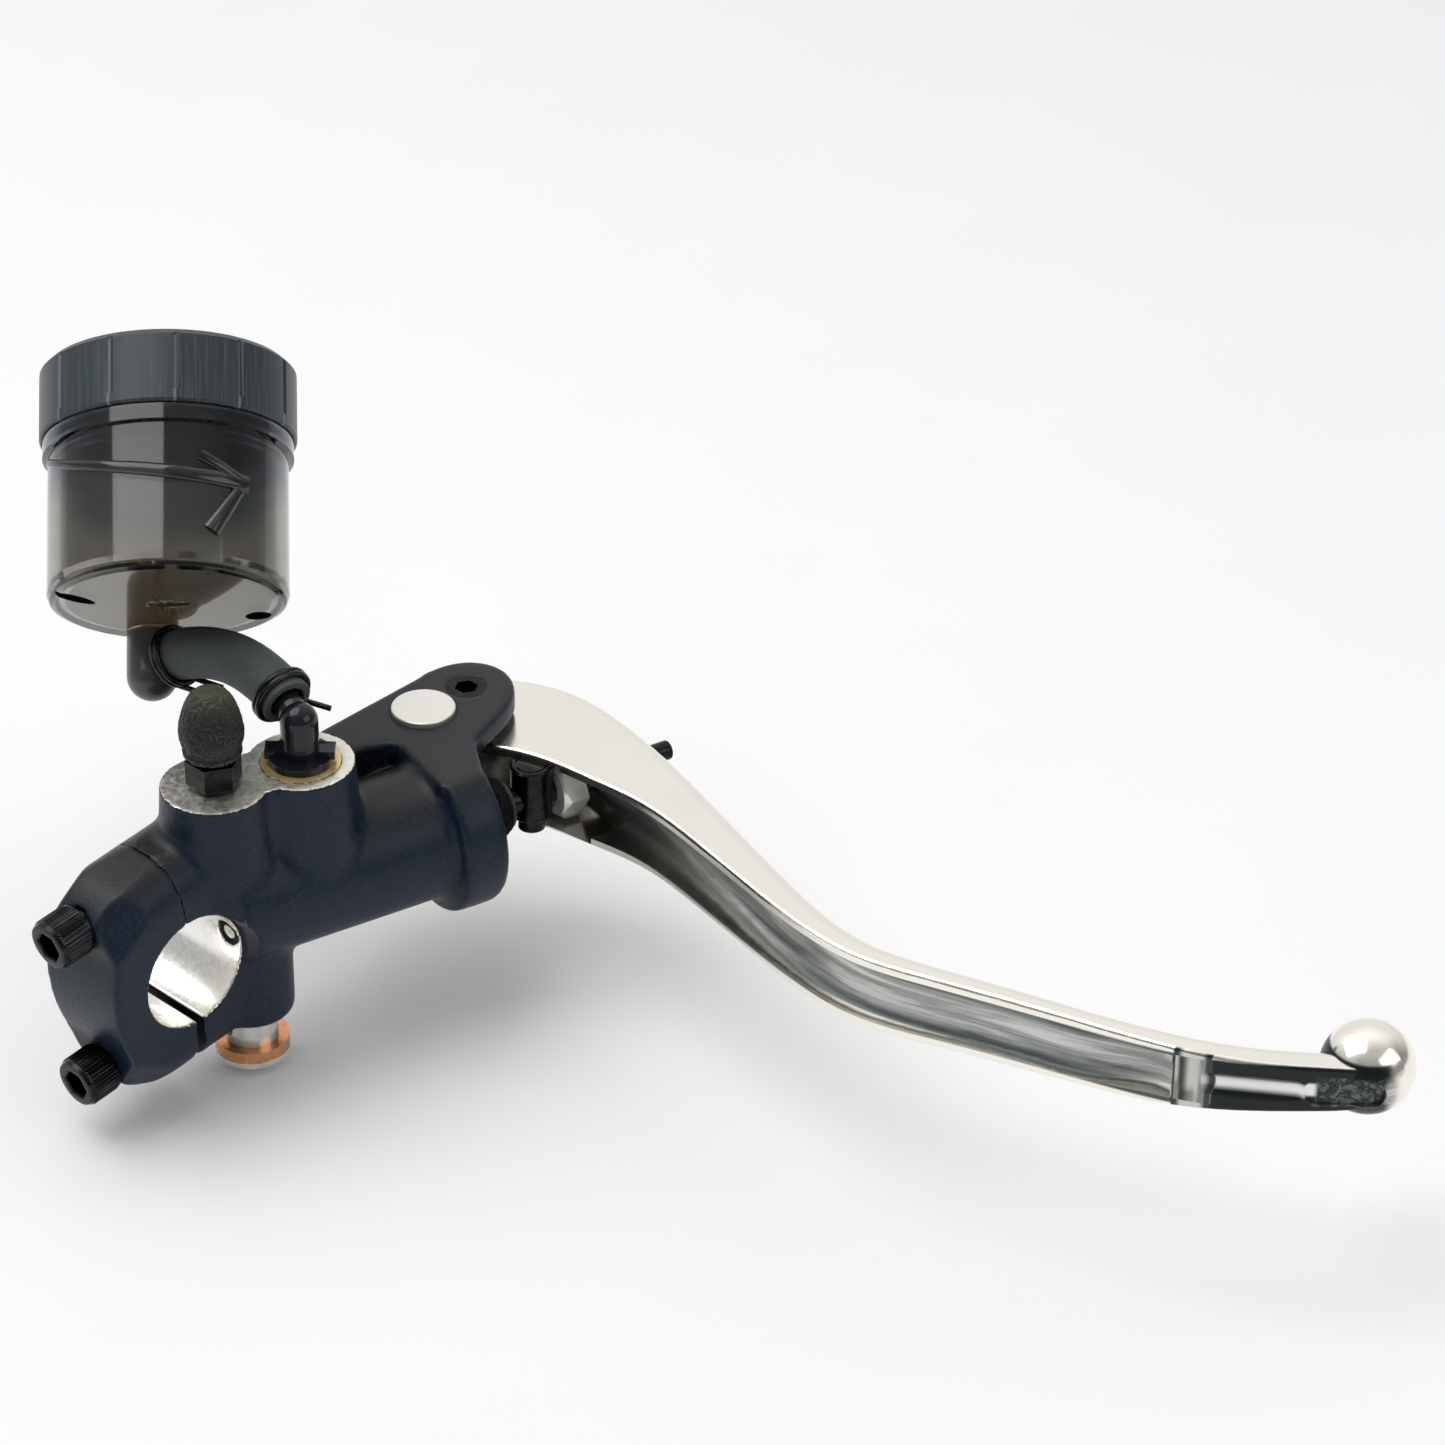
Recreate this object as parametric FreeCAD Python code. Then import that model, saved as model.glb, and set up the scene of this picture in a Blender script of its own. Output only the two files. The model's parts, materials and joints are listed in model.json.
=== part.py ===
"""Radial brake master cylinder with lever and remote fluid reservoir, in millimetres.

Row frame: the origin is on the handlebar's axis at the middle of the clamp, +X runs along the bar
towards the lever's ball end, +Y points forward from the bar, +Z is up along the lever's pivot.
Three local frames serve the sub-parts:
  barrel frame: the row frame turned about Z, so that its Y (called s) runs along the cylinder
                and its X (called t) points outboard
  clamp frame:  the row frame tilted about X, so that its Y (called u) runs along the clamp bolts
  jar frame:    Z runs up the fluid reservoir's axis from the middle of its base
"""
import FreeCAD, Part
import math
import os

V = FreeCAD.Vector
ORIGIN = V(0, 0, 0)
X_AXIS = V(1, 0, 0)
Y_AXIS = V(0, 1, 0)
Z_AXIS = V(0, 0, 1)

# ---- driving dimensions -------------------------------------------------------------------
BAR_RADIUS = 11.1            # 22.2 mm handlebar
CLAMP_HALF_WIDTH = 9.85
CLAMP_HALF_HEIGHT = 23.3
CLAMP_CORNER = 8.6
CLAMP_TILT_DEG = 6.5
LOCATING_PIN_RADIUS = 1.4
PIN_SPOT_RADIUS = 2.6
CLAMP_GAP = 1.5              # opening between the halves under the bar
BOLT_PITCH = 32.8
BOLT_SEAT_U = -16.6
BARREL_ANGLE_DEG = 15.0      # the cylinder points outboard of straight ahead
AXIS_Z = 7.0                 # height of the cylinder's axis over the bar's
BORE_RADIUS = 9.5            # 19 mm piston
BARREL_RADIUS = 12.8
COLLAR_RADIUS = 16.3
COLLAR_START = 55.5
MOUTH_S = 64.5
EAR_TOP_Z = 21.3
EAR_THICKNESS = 4.3
BOSS_TOP_Z = 31.6
BOSS_RADIUS = 9.9
BLEED_S, BLEED_T = 13.1, -0.6
INLET_S, INLET_T = 30.0, 0.6
OUTLET_S = 17.7
OUTLET_RADIUS = 8.3
OUTLET_FACE_Z = -19.2
PIVOT_S, PIVOT_T = 75.45, -19.83
PIN_S = 78.1                 # the trunnion pin crosses the cylinder's axis here
PIN_RADIUS = 4.0
PIN_TOP = 14.0
PIN_BOTTOM = 2.8             # a thinner spigot carries on below this
PIN_SPIGOT_RADIUS = 2.6
NUT_ACROSS = 11.0            # adjuster nut across its flats
BALL_SEAT_S = 55.0           # the pushrod's ball end sits in the piston here
ROD_BALL_RADIUS = 4.2
BALL = V(185.9, 116.3, 8.0)
BALL_RADIUS = 8.5
JAR_BASE = V(-24.4, 27.2, 51.3)
JAR_AXIS = V(-0.5535, 0.5312, 0.6414).normalize()
JAR_ACROSS = Z_AXIS.cross(JAR_AXIS).normalize()
JAR_UP = JAR_AXIS.cross(JAR_ACROSS)
JAR_RADIUS = 22.1
JAR_WALL = 2.2
JAR_SHOULDER = 27.5
JAR_NECK = 30.8
JAR_NECK_RADIUS = 20.8
JAR_TOP = 41.0
JAR_CAP_RADIUS = 23.7
JAR_CAP_TOP = 45.2
CAP_GROOVES = 12
CAP_TURN_DEG = 7.4           # where the first groove sits round the cap
JAR_OUTLET = (4.0, -15.8)    # where the outlet leaves the base: along JAR_ACROSS, along JAR_UP
HOSE_RADIUS = 4.8
SPIGOT_RADIUS = 2.7
OUTLET_STUB_RADIUS = 4.8
BARB_RADIUS = 3.1
HOSE_BORE = 3.35
HOSE_INSET_ELBOW = 4.6       # the hose stops this short of each fitting's corner
HOSE_INSET_JAR = 6.0
RUN = 0.05                   # radial clearance of running fits
FIT = 0.02                   # clearance of parts that are fixed to each other

# ---- frames -------------------------------------------------------------------------------


def barrel(shape):
    """Turn a shape from the barrel frame into the row frame."""
    return shape.rotated(ORIGIN, Z_AXIS, -BARREL_ANGLE_DEG)


def barrel_point(t, s, z):
    angle = math.radians(BARREL_ANGLE_DEG)
    return V(s * math.sin(angle) + t * math.cos(angle), s * math.cos(angle) - t * math.sin(angle), z)


def clamp(shape):
    """Tilt a shape from the clamp frame into the row frame."""
    return shape.rotated(ORIGIN, X_AXIS, CLAMP_TILT_DEG)


def jar(shape):
    """Stand a shape from the jar frame on the reservoir's base."""
    moved = shape.copy()
    turn = FreeCAD.Rotation(JAR_ACROSS, JAR_UP, JAR_AXIS, "ZXY")
    moved.Placement = FreeCAD.Placement(JAR_BASE, turn)
    return moved


# ---- small builders -----------------------------------------------------------------------


def post(radius, x, y, z0, z1):
    return Part.makeCylinder(radius, z1 - z0, V(x, y, z0))


def along_barrel(radius, s0, s1, t=0.0, z=AXIS_Z):
    return Part.makeCylinder(radius, s1 - s0, V(t, s0, z), Y_AXIS)


def hexagon(across_flats, height, base, axis):
    radius = across_flats / math.sqrt(3)
    corners = [V(radius * math.cos(math.radians(60 * i)), radius * math.sin(math.radians(60 * i)), 0)
               for i in range(7)]
    prism = Part.Face(Part.makePolygon(corners)).extrude(V(0, 0, height))
    prism.Placement = FreeCAD.Placement(base, FreeCAD.Rotation(Z_AXIS, axis))
    return prism


def turned(outline, base, axis):
    """Revolve an outline of (radius, height) points about Z, then stand it on base along axis."""
    points = [V(r, 0, h) for r, h in outline]
    solid = Part.Face(Part.makePolygon(points + points[:1])).revolve(ORIGIN, Z_AXIS, 360)
    solid.Placement = FreeCAD.Placement(base, FreeCAD.Rotation(Z_AXIS, axis))
    return solid


def ring(outer, inner, s0, s1):
    """A flat ring on the cylinder's axis, in the barrel frame."""
    return along_barrel(outer, s0, s1).cut(along_barrel(inner, s0 - 1, s1 + 1))


def prism(points, direction):
    return Part.Face(Part.makePolygon(points + points[:1])).extrude(direction)


def fuse(first, *others):
    return first.fuse(list(others)).removeSplitter()


def save(name, *solids):
    shape = solids[0] if len(solids) == 1 else Part.makeCompound(list(solids))
    shape.exportStep("parts/%s.step" % name)


# ---- casting and clamp --------------------------------------------------------------------


def rounded_block(u0, u1):
    """The clamp's rounded section across the bolts, from u0 to u1."""
    width = 2 * CLAMP_HALF_WIDTH
    height = 2 * CLAMP_HALF_HEIGHT
    block = Part.makeBox(width, u1 - u0, height, V(-CLAMP_HALF_WIDTH, u0, -CLAMP_HALF_HEIGHT))
    long_edges = [e for e in block.Edges if abs(e.tangentAt(e.FirstParameter).y) > 0.9]
    return block.makeFillet(CLAMP_CORNER, long_edges)


def side_profile(edges):
    """Extrude a closed outline of (u, v) across the clamp's width."""
    wire = Part.Wire(edges)
    shift = V(-CLAMP_HALF_WIDTH - 1, 0, 0)
    face = Part.Face(wire).translated(shift)
    return face.extrude(V(2 * CLAMP_HALF_WIDTH + 2, 0, 0))


def line(a, b):
    return Part.makeLine(V(0, *a), V(0, *b))


def bow(a, via, b):
    return Part.Arc(V(0, *a), V(0, *via), V(0, *b)).toShape()


def bar_bore():
    """The bar's bore, opened a little beyond the clamp's faces so that the bar passes the casting."""
    reach = 30.0
    relief = BAR_RADIUS + 0.6
    bore = Part.makeCylinder(BAR_RADIUS, 2 * reach, V(-reach, 0, 0), X_AXIS)
    outboard = Part.makeCylinder(relief, reach, V(CLAMP_HALF_WIDTH, 0, 0), X_AXIS)
    inboard = Part.makeCylinder(relief, reach, V(-CLAMP_HALF_WIDTH - reach, 0, 0), X_AXIS)
    return bore.fuse([outboard, inboard])


def clamp_front():
    """Front half of the clamp with its upper and lower bolt lugs."""
    top = CLAMP_HALF_HEIGHT
    outline = [
        line((0, top), (9, top - 0.6)),
        bow((9, top - 0.6), (15, top - 3.5), (18, 15)),
        line((18, 15), (18, -8.3)),
        bow((18, -8.3), (11.9, -10.9), (9.2, -16.5)),
        line((9.2, -16.5), (8.6, -21.2)),
        bow((8.6, -21.2), (7.8, -22.8), (6.2, -top)),
        line((6.2, -top), (0, -top)),
        line((0, -top), (0, top)),
    ]
    return rounded_block(0, 20).common(side_profile(outline))


def clamp_cap():
    top = CLAMP_HALF_HEIGHT
    seat_in, seat_out = 11.2, 18.8
    brow = (-8.0, top - 0.7)
    temple = (-13.6, top - 2.3)
    outline = [
        line((-FIT, top), brow),
        bow(brow, temple, (BOLT_SEAT_U, seat_out)),
        line((BOLT_SEAT_U, seat_out), (BOLT_SEAT_U, seat_in)),
        bow((BOLT_SEAT_U, seat_in), (BOLT_SEAT_U - 1.9, 0), (BOLT_SEAT_U, -seat_in)),
        line((BOLT_SEAT_U, -seat_in), (BOLT_SEAT_U, -seat_out)),
        bow((BOLT_SEAT_U, -seat_out), (temple[0], -temple[1]), (brow[0], -brow[1])),
        line((brow[0], -brow[1]), (-CLAMP_GAP, -top)),
        line((-CLAMP_GAP, -top), (-CLAMP_GAP, 0)),
        line((-CLAMP_GAP, 0), (-FIT, 0)),
        line((-FIT, 0), (-FIT, top)),
    ]
    cap = rounded_block(-20, 0).common(side_profile(outline))
    cuts = [Part.makeCylinder(3.3, 30, V(0, -25, v), Y_AXIS) for v in bolt_heights()]
    cuts += [seat_corner(side, end) for side in (-1, 1) for end in (-1, 1)]
    return clamp(cap.cut(cuts)).cut(bar_bore())


def seat_corner(side, end):
    """What is planed off one corner of the cap, so that it narrows round the bolt's head."""
    near_bolt = V(side * 4.6, BOLT_SEAT_U, end * 19.4)
    on_side = V(side * 9.2, BOLT_SEAT_U, end * 12.6)
    fade_out = V(side * 7.6, -5.0, end * 22.0)
    outward = (on_side - near_bolt).cross(fade_out - near_bolt) * (-side * end)
    if outward.x * side < 0:
        outward = outward * -1
    return Part.makeCylinder(30, 20, near_bolt, outward)


def bolt_heights():
    return (BOLT_PITCH / 2, -BOLT_PITCH / 2)


def ear_outline(z):
    """Plan outline of the upper ear, from its tail beside the inlet boss round the pivot."""
    tip = [V(-8.7, 74, z), V(-8.2, 80.5, z), V(-5.0, 85.4, z), V(0.6, 87.2, z), V(5.4, 85.6, z),
           V(9.0, 82.0, z), V(11.1, 77.6, z), V(12.6, 73, z), V(14.8, 66.3, z)]
    curve = Part.BSplineCurve()
    curve.interpolate(tip)
    shoulder = math.sqrt(COLLAR_RADIUS ** 2 - (EAR_TOP_Z - AXIS_Z) ** 2) - 0.3
    heel = V(*barrel_point(shoulder, MOUTH_S - 0.5, z))
    front = V(*barrel_point(shoulder, COLLAR_START - 0.6, z))
    crook = V(*barrel_point(-6.0, COLLAR_START - 0.6, z))
    bend = V(*barrel_point(-10.2, 53.6, z))
    waist = V(*barrel_point(-11.8, 50.0, z))
    tail_in = V(*barrel_point(-9.5, 33.0, z))
    tail_out = V(-8.3, 39.0, z)
    return Part.Wire([curve.toShape(), Part.makeLine(tip[-1], heel), Part.makeLine(heel, front),
                      Part.makeLine(front, crook), Part.Arc(crook, bend, waist).toShape(),
                      Part.makeLine(waist, tail_in), Part.makeLine(tail_in, tail_out),
                      Part.makeLine(tail_out, tip[0])])


def tail_web():
    """Web under the upper ear's tail, tying it to the barrel and the inlet boss, in the barrel frame."""
    corners = [V(-8.5, 33.0, AXIS_Z), V(-13.5, 36.5, AXIS_Z), V(-14.5, 50.0, AXIS_Z), V(-11.9, 49.8, AXIS_Z)]
    return prism(corners, V(0, 0, EAR_TOP_Z - 1 - AXIS_Z))


def lower_ear(z0, z1):
    """The lower ear: a plain lug round the pivot, blended into the collar."""
    pivot = barrel_point(PIVOT_T, PIVOT_S, z0)
    left = barrel_point(-26.5, 60, z0)
    right = barrel_point(10, 60, z0)
    arm = prism([pivot + V(-8.8, 0, 0), left, right, pivot + V(8.6, 2, 0)], V(0, 0, z1 - z0))
    return arm.fuse(post(8.8, pivot.x, pivot.y, z0, z1))


def cast_flank():
    """Web that ties both ears to the barrel's inboard side, behind the lever's root."""
    height = EAR_TOP_Z - 0.5 - (2 * AXIS_Z - EAR_TOP_Z)
    corners = [V(-11.9, 47.5, 0), V(-18, 50, 0), V(-24, 56, 0), V(-24.5, 61.5, 0), V(-20, 63.5, 0),
               V(-9.5, 63.5, 0), V(-9.5, 56, 0)]
    return prism(corners, V(0, 0, height)).translated(V(0, 0, 2 * AXIS_Z - EAR_TOP_Z + 0.25))


def fluid_passages():
    """Cylinder bore and the passages that meet it, in the barrel frame."""
    bore = along_barrel(BORE_RADIUS, 22, MOUTH_S + 1)
    mouth = along_barrel(10.2, 58.6, MOUTH_S + 1)
    groove = along_barrel(11.0, 59.6, 60.8)
    outlet_thread = post(5 + FIT, 0, OUTLET_S, OUTLET_FACE_Z - 1, -6)
    outlet_rise = post(2, 0, OUTLET_S, -7, AXIS_Z)
    outlet_run = along_barrel(2, OUTLET_S, 23)
    bleed_thread = post(4 + FIT, BLEED_T, BLEED_S, 19, BOSS_TOP_Z + 1)
    bleed_drop = post(1.5, BLEED_T, BLEED_S, AXIS_Z, 20)
    bleed_run = along_barrel(1.5, BLEED_S, OUTLET_S + 0.5, BLEED_T)
    inlet_well = post(6.5, INLET_T, INLET_S, 20.2, BOSS_TOP_Z + 1)
    ring_seat = post(7.4, INLET_T, INLET_S, BOSS_TOP_Z - 1.3, BOSS_TOP_Z + 1)
    supply_port = post(0.4, 0, 31.8, 16, 21)
    feed_port = post(1.25, 0, 35.0, 16, 21)
    return [bore, mouth, groove, outlet_thread, outlet_rise, outlet_run, bleed_thread, bleed_drop,
            bleed_run, inlet_well, ring_seat, supply_port, feed_port]


def top_bosses():
    """The bleed and inlet bosses, joined by a waisted bridge under one machined face."""
    def boss(t, s):
        return Part.makeCone(BOSS_RADIUS + 1.6, BOSS_RADIUS, BOSS_TOP_Z - AXIS_Z, V(t, s, AXIS_Z))
    bridge = Part.makeBox(13.6, INLET_S - BLEED_S, BOSS_TOP_Z - AXIS_Z, V(-6.8, BLEED_S, AXIS_Z))
    return boss(BLEED_T, BLEED_S).fuse([boss(INLET_T, INLET_S), bridge])


def cylinder_body():
    tube = along_barrel(BARREL_RADIUS, 12, COLLAR_START + 1)
    collar = along_barrel(COLLAR_RADIUS, COLLAR_START, MOUTH_S)
    collar = collar.makeFillet(1.2, [collar.Edges[0], collar.Edges[2]])
    trim = Part.makeBox(40, 40, 10, V(-20, 45, EAR_TOP_Z))
    outlet = post(OUTLET_RADIUS, 0, OUTLET_S, OUTLET_FACE_Z, AXIS_Z)
    outlet = outlet.makeFillet(1.4, [min(outlet.Edges, key=lambda e: e.BoundBox.ZMax)])
    cast = barrel(tube.fuse([collar.cut(trim), outlet, top_bosses(), cast_flank(), tail_web()]))
    ear = Part.Face(ear_outline(EAR_TOP_Z - EAR_THICKNESS)).extrude(V(0, 0, EAR_THICKNESS))
    low_top = 2 * AXIS_Z - (EAR_TOP_Z - EAR_THICKNESS)
    low = lower_ear(low_top - 3.6, low_top)
    body = cast.fuse([ear, low, clamp(clamp_front())])
    pivot = barrel_point(PIVOT_T, PIVOT_S, 0)
    badge = badge_centre()
    cuts = [barrel(s) for s in fluid_passages()]
    cuts += [bar_bore(), pin_hole()]
    cuts += [clamp(Part.makeCylinder(3 + FIT, 9.5, V(0, -1, v), Y_AXIS)) for v in bolt_heights()]
    cuts += [post(3 + FIT, pivot.x, pivot.y, -20, 30), post(3.9, pivot.x, pivot.y, EAR_TOP_Z - 2.2, 30)]
    cuts += [post(6.1, badge.x, badge.y, EAR_TOP_Z - 0.6, 30)]
    return body.cut(cuts)


def badge_centre():
    return V(0.7, 66.5, EAR_TOP_Z)


def badge_disc():
    centre = badge_centre()
    disc = post(6.1 - FIT, centre.x, centre.y, EAR_TOP_Z - 0.6 + FIT, EAR_TOP_Z + 0.9)
    return disc.makeFillet(0.3, [max(disc.Edges, key=lambda e: e.BoundBox.ZMin)])


def clamp_bolts():
    bolts = []
    for v in bolt_heights():
        head = Part.makeCylinder(4.9, 7, V(0, BOLT_SEAT_U - 7, v), Y_AXIS)
        head = head.makeChamfer(0.5, [min(head.Edges, key=lambda e: e.BoundBox.YMax)])
        shank = Part.makeCylinder(3, 24.6, V(0, BOLT_SEAT_U, v), Y_AXIS)
        socket = hexagon(5, 3.4, V(0, BOLT_SEAT_U - 7.01, v), Y_AXIS)
        bolts.append(clamp(head.fuse(shank).cut(socket)))
    return bolts


def pin_hole():
    """Blind hole in the clamp's front bore wall for the locating pin, in a wider spot-face."""
    aim = V(0, 1, 0.1)
    start = V(6.6, 7.0, 1.2)
    spot_face = Part.makeCylinder(PIN_SPOT_RADIUS, 4.8, start, aim)
    return spot_face.fuse(Part.makeCylinder(LOCATING_PIN_RADIUS + FIT, 7.5, start, aim))


def bar_locating_pin():
    pin = Part.makeCylinder(LOCATING_PIN_RADIUS, 7.4, V(6.6, 7.0, 1.2), V(0, 1, 0.1))
    return pin.common(clear_of_bar())


def clear_of_bar():
    outer = Part.makeCylinder(BAR_RADIUS + 6, 40, V(-20, 0, 0), X_AXIS)
    inner = Part.makeCylinder(BAR_RADIUS + 0.25, 40, V(-20, 0, 0), X_AXIS)
    return outer.cut(inner)


# ---- fittings -----------------------------------------------------------------------------


def bleed_screw():
    base = barrel_point(BLEED_T, BLEED_S, 0)
    outline = [(1.0, 21), (4.0, 23), (4.0, BOSS_TOP_Z), (4.4, BOSS_TOP_Z), (4.4, 32.6), (3.9, 32.6),
               (3.9, 38.0), (2.6, 38.0), (2.6, 42.2), (3.3, 43.0), (2.9, 46.2), (0, 46.2), (0, 21)]
    stem = turned(outline, V(base.x, base.y, 0), Z_AXIS)
    flats = hexagon(9.0, 4.8, V(base.x, base.y, 32.6), Z_AXIS)
    drilling = post(0.8, base.x, base.y, 24, 47)
    return fuse(stem, flats).cut(drilling)


def bleed_screw_cap():
    base = barrel_point(BLEED_T, BLEED_S, 0)
    outline = [(3.0, 38.3), (5.1, 38.3), (5.6, 39.4), (5.9, 42.0), (5.6, 45.3), (4.4, 49.0), (2.9, 51.0),
               (0, 51.6), (0, 47.0), (3.1, 46.6), (3.6, 43.2), (2.9, 42.2)]
    return turned(outline, V(base.x, base.y, 0), Z_AXIS)


def elbow_points():
    """Corner points of the inlet elbow: foot, bend, and spigot end."""
    foot = barrel_point(INLET_T, INLET_S, BOSS_TOP_Z)
    bend = foot + V(0, 0, 8.6)
    aim = V(-0.92, 0.24, 0.30)
    return foot, bend, bend + aim * 9.0


def inlet_elbow():
    foot, bend, end = elbow_points()
    aim = end - bend
    plug = post(6.5 - FIT, foot.x, foot.y, 21.0, BOSS_TOP_Z - 1.3 - FIT)
    groove = post(7, foot.x, foot.y, 24.6, 26.6).cut(post(4.9, foot.x, foot.y, 24, 27))
    flange = post(5.9, foot.x, foot.y, BOSS_TOP_Z - 1.4, BOSS_TOP_Z + 1.6)
    riser = post(3.5, foot.x, foot.y, BOSS_TOP_Z, bend.z)
    knee = Part.makeSphere(3.5, bend)
    spigot = Part.makeCylinder(SPIGOT_RADIUS, aim.Length, bend, aim)
    barb = Part.makeCone(BARB_RADIUS, SPIGOT_RADIUS, 1.6, end - aim * (2.0 / aim.Length), aim)
    tabs = Part.makeBox(12.8, 3.6, 1.6, V(-6.4, -1.8, 0))
    tabs = tabs.rotated(ORIGIN, Z_AXIS, 43).translated(V(foot.x, foot.y, BOSS_TOP_Z + 1.4))
    solid = fuse(plug.cut(groove), flange, tabs, riser, knee, spigot, barb)
    way = fuse(post(1.9, foot.x, foot.y, 20, bend.z), Part.makeSphere(1.9, bend),
               Part.makeCylinder(1.9, aim.Length + 1, bend, aim))
    return solid.cut(way)


def inlet_o_ring():
    foot = elbow_points()[0]
    outer = post(6.5 - FIT, foot.x, foot.y, 24.6 + FIT, 26.6 - FIT)
    return outer.cut(post(4.9 + FIT, foot.x, foot.y, 24, 27))


def inlet_retaining_ring():
    foot = elbow_points()[0]
    outer = post(7.4 - FIT, foot.x, foot.y, BOSS_TOP_Z - 1.3 + FIT, BOSS_TOP_Z + 0.1)
    return outer.cut(post(5.9 + FIT, foot.x, foot.y, 29, 33))


def banjo_bolt():
    centre = barrel_point(0, OUTLET_S, 0)
    top = -11.5
    washers_top = -25.4
    washers_bottom = -27.6
    head_bottom = washers_bottom - 1.5
    shank = post(5, centre.x, centre.y, washers_bottom, top)
    shank = shank.makeChamfer(0.8, [max(shank.Edges, key=lambda e: e.BoundBox.ZMin)])
    head = post(7.1, centre.x, centre.y, head_bottom, washers_bottom)
    head = head.makeChamfer(0.4, [min(head.Edges, key=lambda e: e.BoundBox.ZMax)])
    socket = hexagon(6, 3.2, V(centre.x, centre.y, head_bottom - 0.01), Z_AXIS)
    drilling = post(2.2, centre.x, centre.y, washers_top + 2, top + 1)
    cross_start = V(centre.x, centre.y, -22.4) - barrel_point(0, 10, 0)
    cross = Part.makeCylinder(1.6, 20, cross_start, barrel_point(0, 1, 0))
    return fuse(shank, head).cut([socket, drilling, cross])


def crush_washers():
    centre = barrel_point(0, OUTLET_S, 0)
    washers = []
    for z in (-26.5, -27.6):
        disc = post(7, centre.x, centre.y, z + FIT, z + 1.1)
        washers.append(disc.cut(post(5 + FIT, centre.x, centre.y, z - 1, z + 2)))
    return washers


# ---- hydraulics inside the bore -----------------------------------------------------------


def on_axis(outline, s0):
    """Revolve (radius, s) points about the cylinder's axis; heights count from s0."""
    return turned([(r, s - s0) for r, s in outline], V(0, s0, AXIS_Z), Y_AXIS)


def piston():
    land = BORE_RADIUS - RUN
    outline = [(0, 30.4), (3.6, 30.4), (3.6, 33.4), (5.5, 33.4), (5.5, 36.6), (land, 36.6), (land, 38.4),
               (6.4, 38.4), (6.4, 52.4), (land, 52.4), (land, 53.6), (7.2, 53.6), (7.2, 55.6),
               (land, 55.6), (land, 58.5), (0, 58.5)]
    seat = Part.makeSphere(ROD_BALL_RADIUS + 0.35, V(0, BALL_SEAT_S + 0.3, AXIS_Z))
    way_in = along_barrel(ROD_BALL_RADIUS + 0.35, BALL_SEAT_S + 0.3, 60)
    return barrel(on_axis(outline, 30.4).cut([seat, way_in]))


def primary_cup():
    lip = BORE_RADIUS - RUN
    outline = [(5.5 + FIT, 33.4), (8.0, 33.9), (lip, 32.6), (lip, 35.4), (lip - 0.3, 36.6 - FIT),
               (5.5 + FIT, 36.6 - FIT)]
    return barrel(on_axis(outline, 33.4))


def secondary_seal():
    return barrel(ring(BORE_RADIUS - RUN, 7.2 + FIT, 53.6 + FIT, 55.6 - FIT))


def return_spring():
    """Compression spring between the bore's blind end and the piston's nose."""
    wire_radius = 0.65
    coil_radius = 5.4
    free = 33.4 - 22.0 - 4 * wire_radius
    helix = Part.makeHelix(free / 4.5, free, coil_radius)
    start = V(coil_radius, 0, 0)
    section = Part.Wire(Part.makeCircle(wire_radius, start, Y_AXIS))
    coil = Part.Wire(helix).makePipeShell([section], True, True)
    coil.Placement = FreeCAD.Placement(V(0, 22.0 + 2 * wire_radius, AXIS_Z), FreeCAD.Rotation(Z_AXIS, Y_AXIS))
    return barrel(coil)


def piston_stop_washer():
    return barrel(ring(10.2 - FIT, 5.2, 58.6 + FIT, 59.55))


def piston_circlip():
    clip = ring(11.0 - FIT, 9.0, 59.6 + FIT, 60.8 - FIT)
    gap = Part.makeBox(4, 3, 6, V(-2, 59, AXIS_Z + 7))
    return barrel(clip.cut(gap))


def dust_boot():
    """Bellows boot between the cylinder's mouth and the pushrod."""
    folds = [(10.2 - FIT, 60.9), (10.2 - FIT, 64.6), (8.6, 65.2), (7.2, 65.8), (8.2, 66.5), (6.6, 67.3),
             (7.4, 68.1), (5.8, 68.9), (6.4, 69.6), (4.6, 70.4), (4.6, 72.4), (2.75, 72.4)]
    lining = [(2.75, 70.8), (4.6, 69.2), (5.0, 67.4), (5.8, 65.6), (7.4, 63.8), (8.6, 62.6), (8.6, 60.9)]
    return barrel(on_axis(folds + lining, 60.9))


# ---- lever linkage ------------------------------------------------------------------------


def trunnion_pin():
    """Pin that carries the lever's push to the rod, with a turned step round its top face."""
    pin = post(PIN_RADIUS, 0, PIN_S, PIN_BOTTOM, PIN_TOP)
    pin = pin.makeChamfer(0.4, [e for e in pin.Edges if abs(e.BoundBox.ZMax - e.BoundBox.ZMin) < 0.1])
    spigot = post(PIN_SPIGOT_RADIUS, 0, PIN_S, 0, PIN_BOTTOM + 1)
    face_groove = post(3.1, 0, PIN_S, PIN_TOP - 0.3, PIN_TOP + 1).cut(post(2.7, 0, PIN_S, 0, PIN_TOP + 1))
    return barrel(fuse(pin, spigot).cut([face_groove, along_barrel(2.5 + RUN, 70, 90)]))


def pushrod():
    ball = Part.makeSphere(ROD_BALL_RADIUS, V(0, BALL_SEAT_S, AXIS_Z))
    neck = along_barrel(2.5, BALL_SEAT_S, 96.5)
    nose = along_barrel(1.9, 96.5, 108.3)
    nose = nose.makeFillet(0.5, [max(nose.Edges, key=lambda e: e.BoundBox.YMin)])
    return barrel(fuse(ball, neck, nose))


def adjuster_nut():
    """Hex nut on the pushrod in front of the pin, chamfered on its near face."""
    near, length, chamfer = 82.3, 5.6, 1.2
    corner = NUT_ACROSS / math.sqrt(3)
    flats = hexagon(NUT_ACROSS, length, V(0, near, AXIS_Z), Y_AXIS)
    taper = Part.makeCone(corner - chamfer, corner + 3 * chamfer, 4 * chamfer, V(0, near, AXIS_Z), Y_AXIS)
    return barrel(flats.common(taper).cut(along_barrel(2.5 + FIT, 80, 92)))


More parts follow.
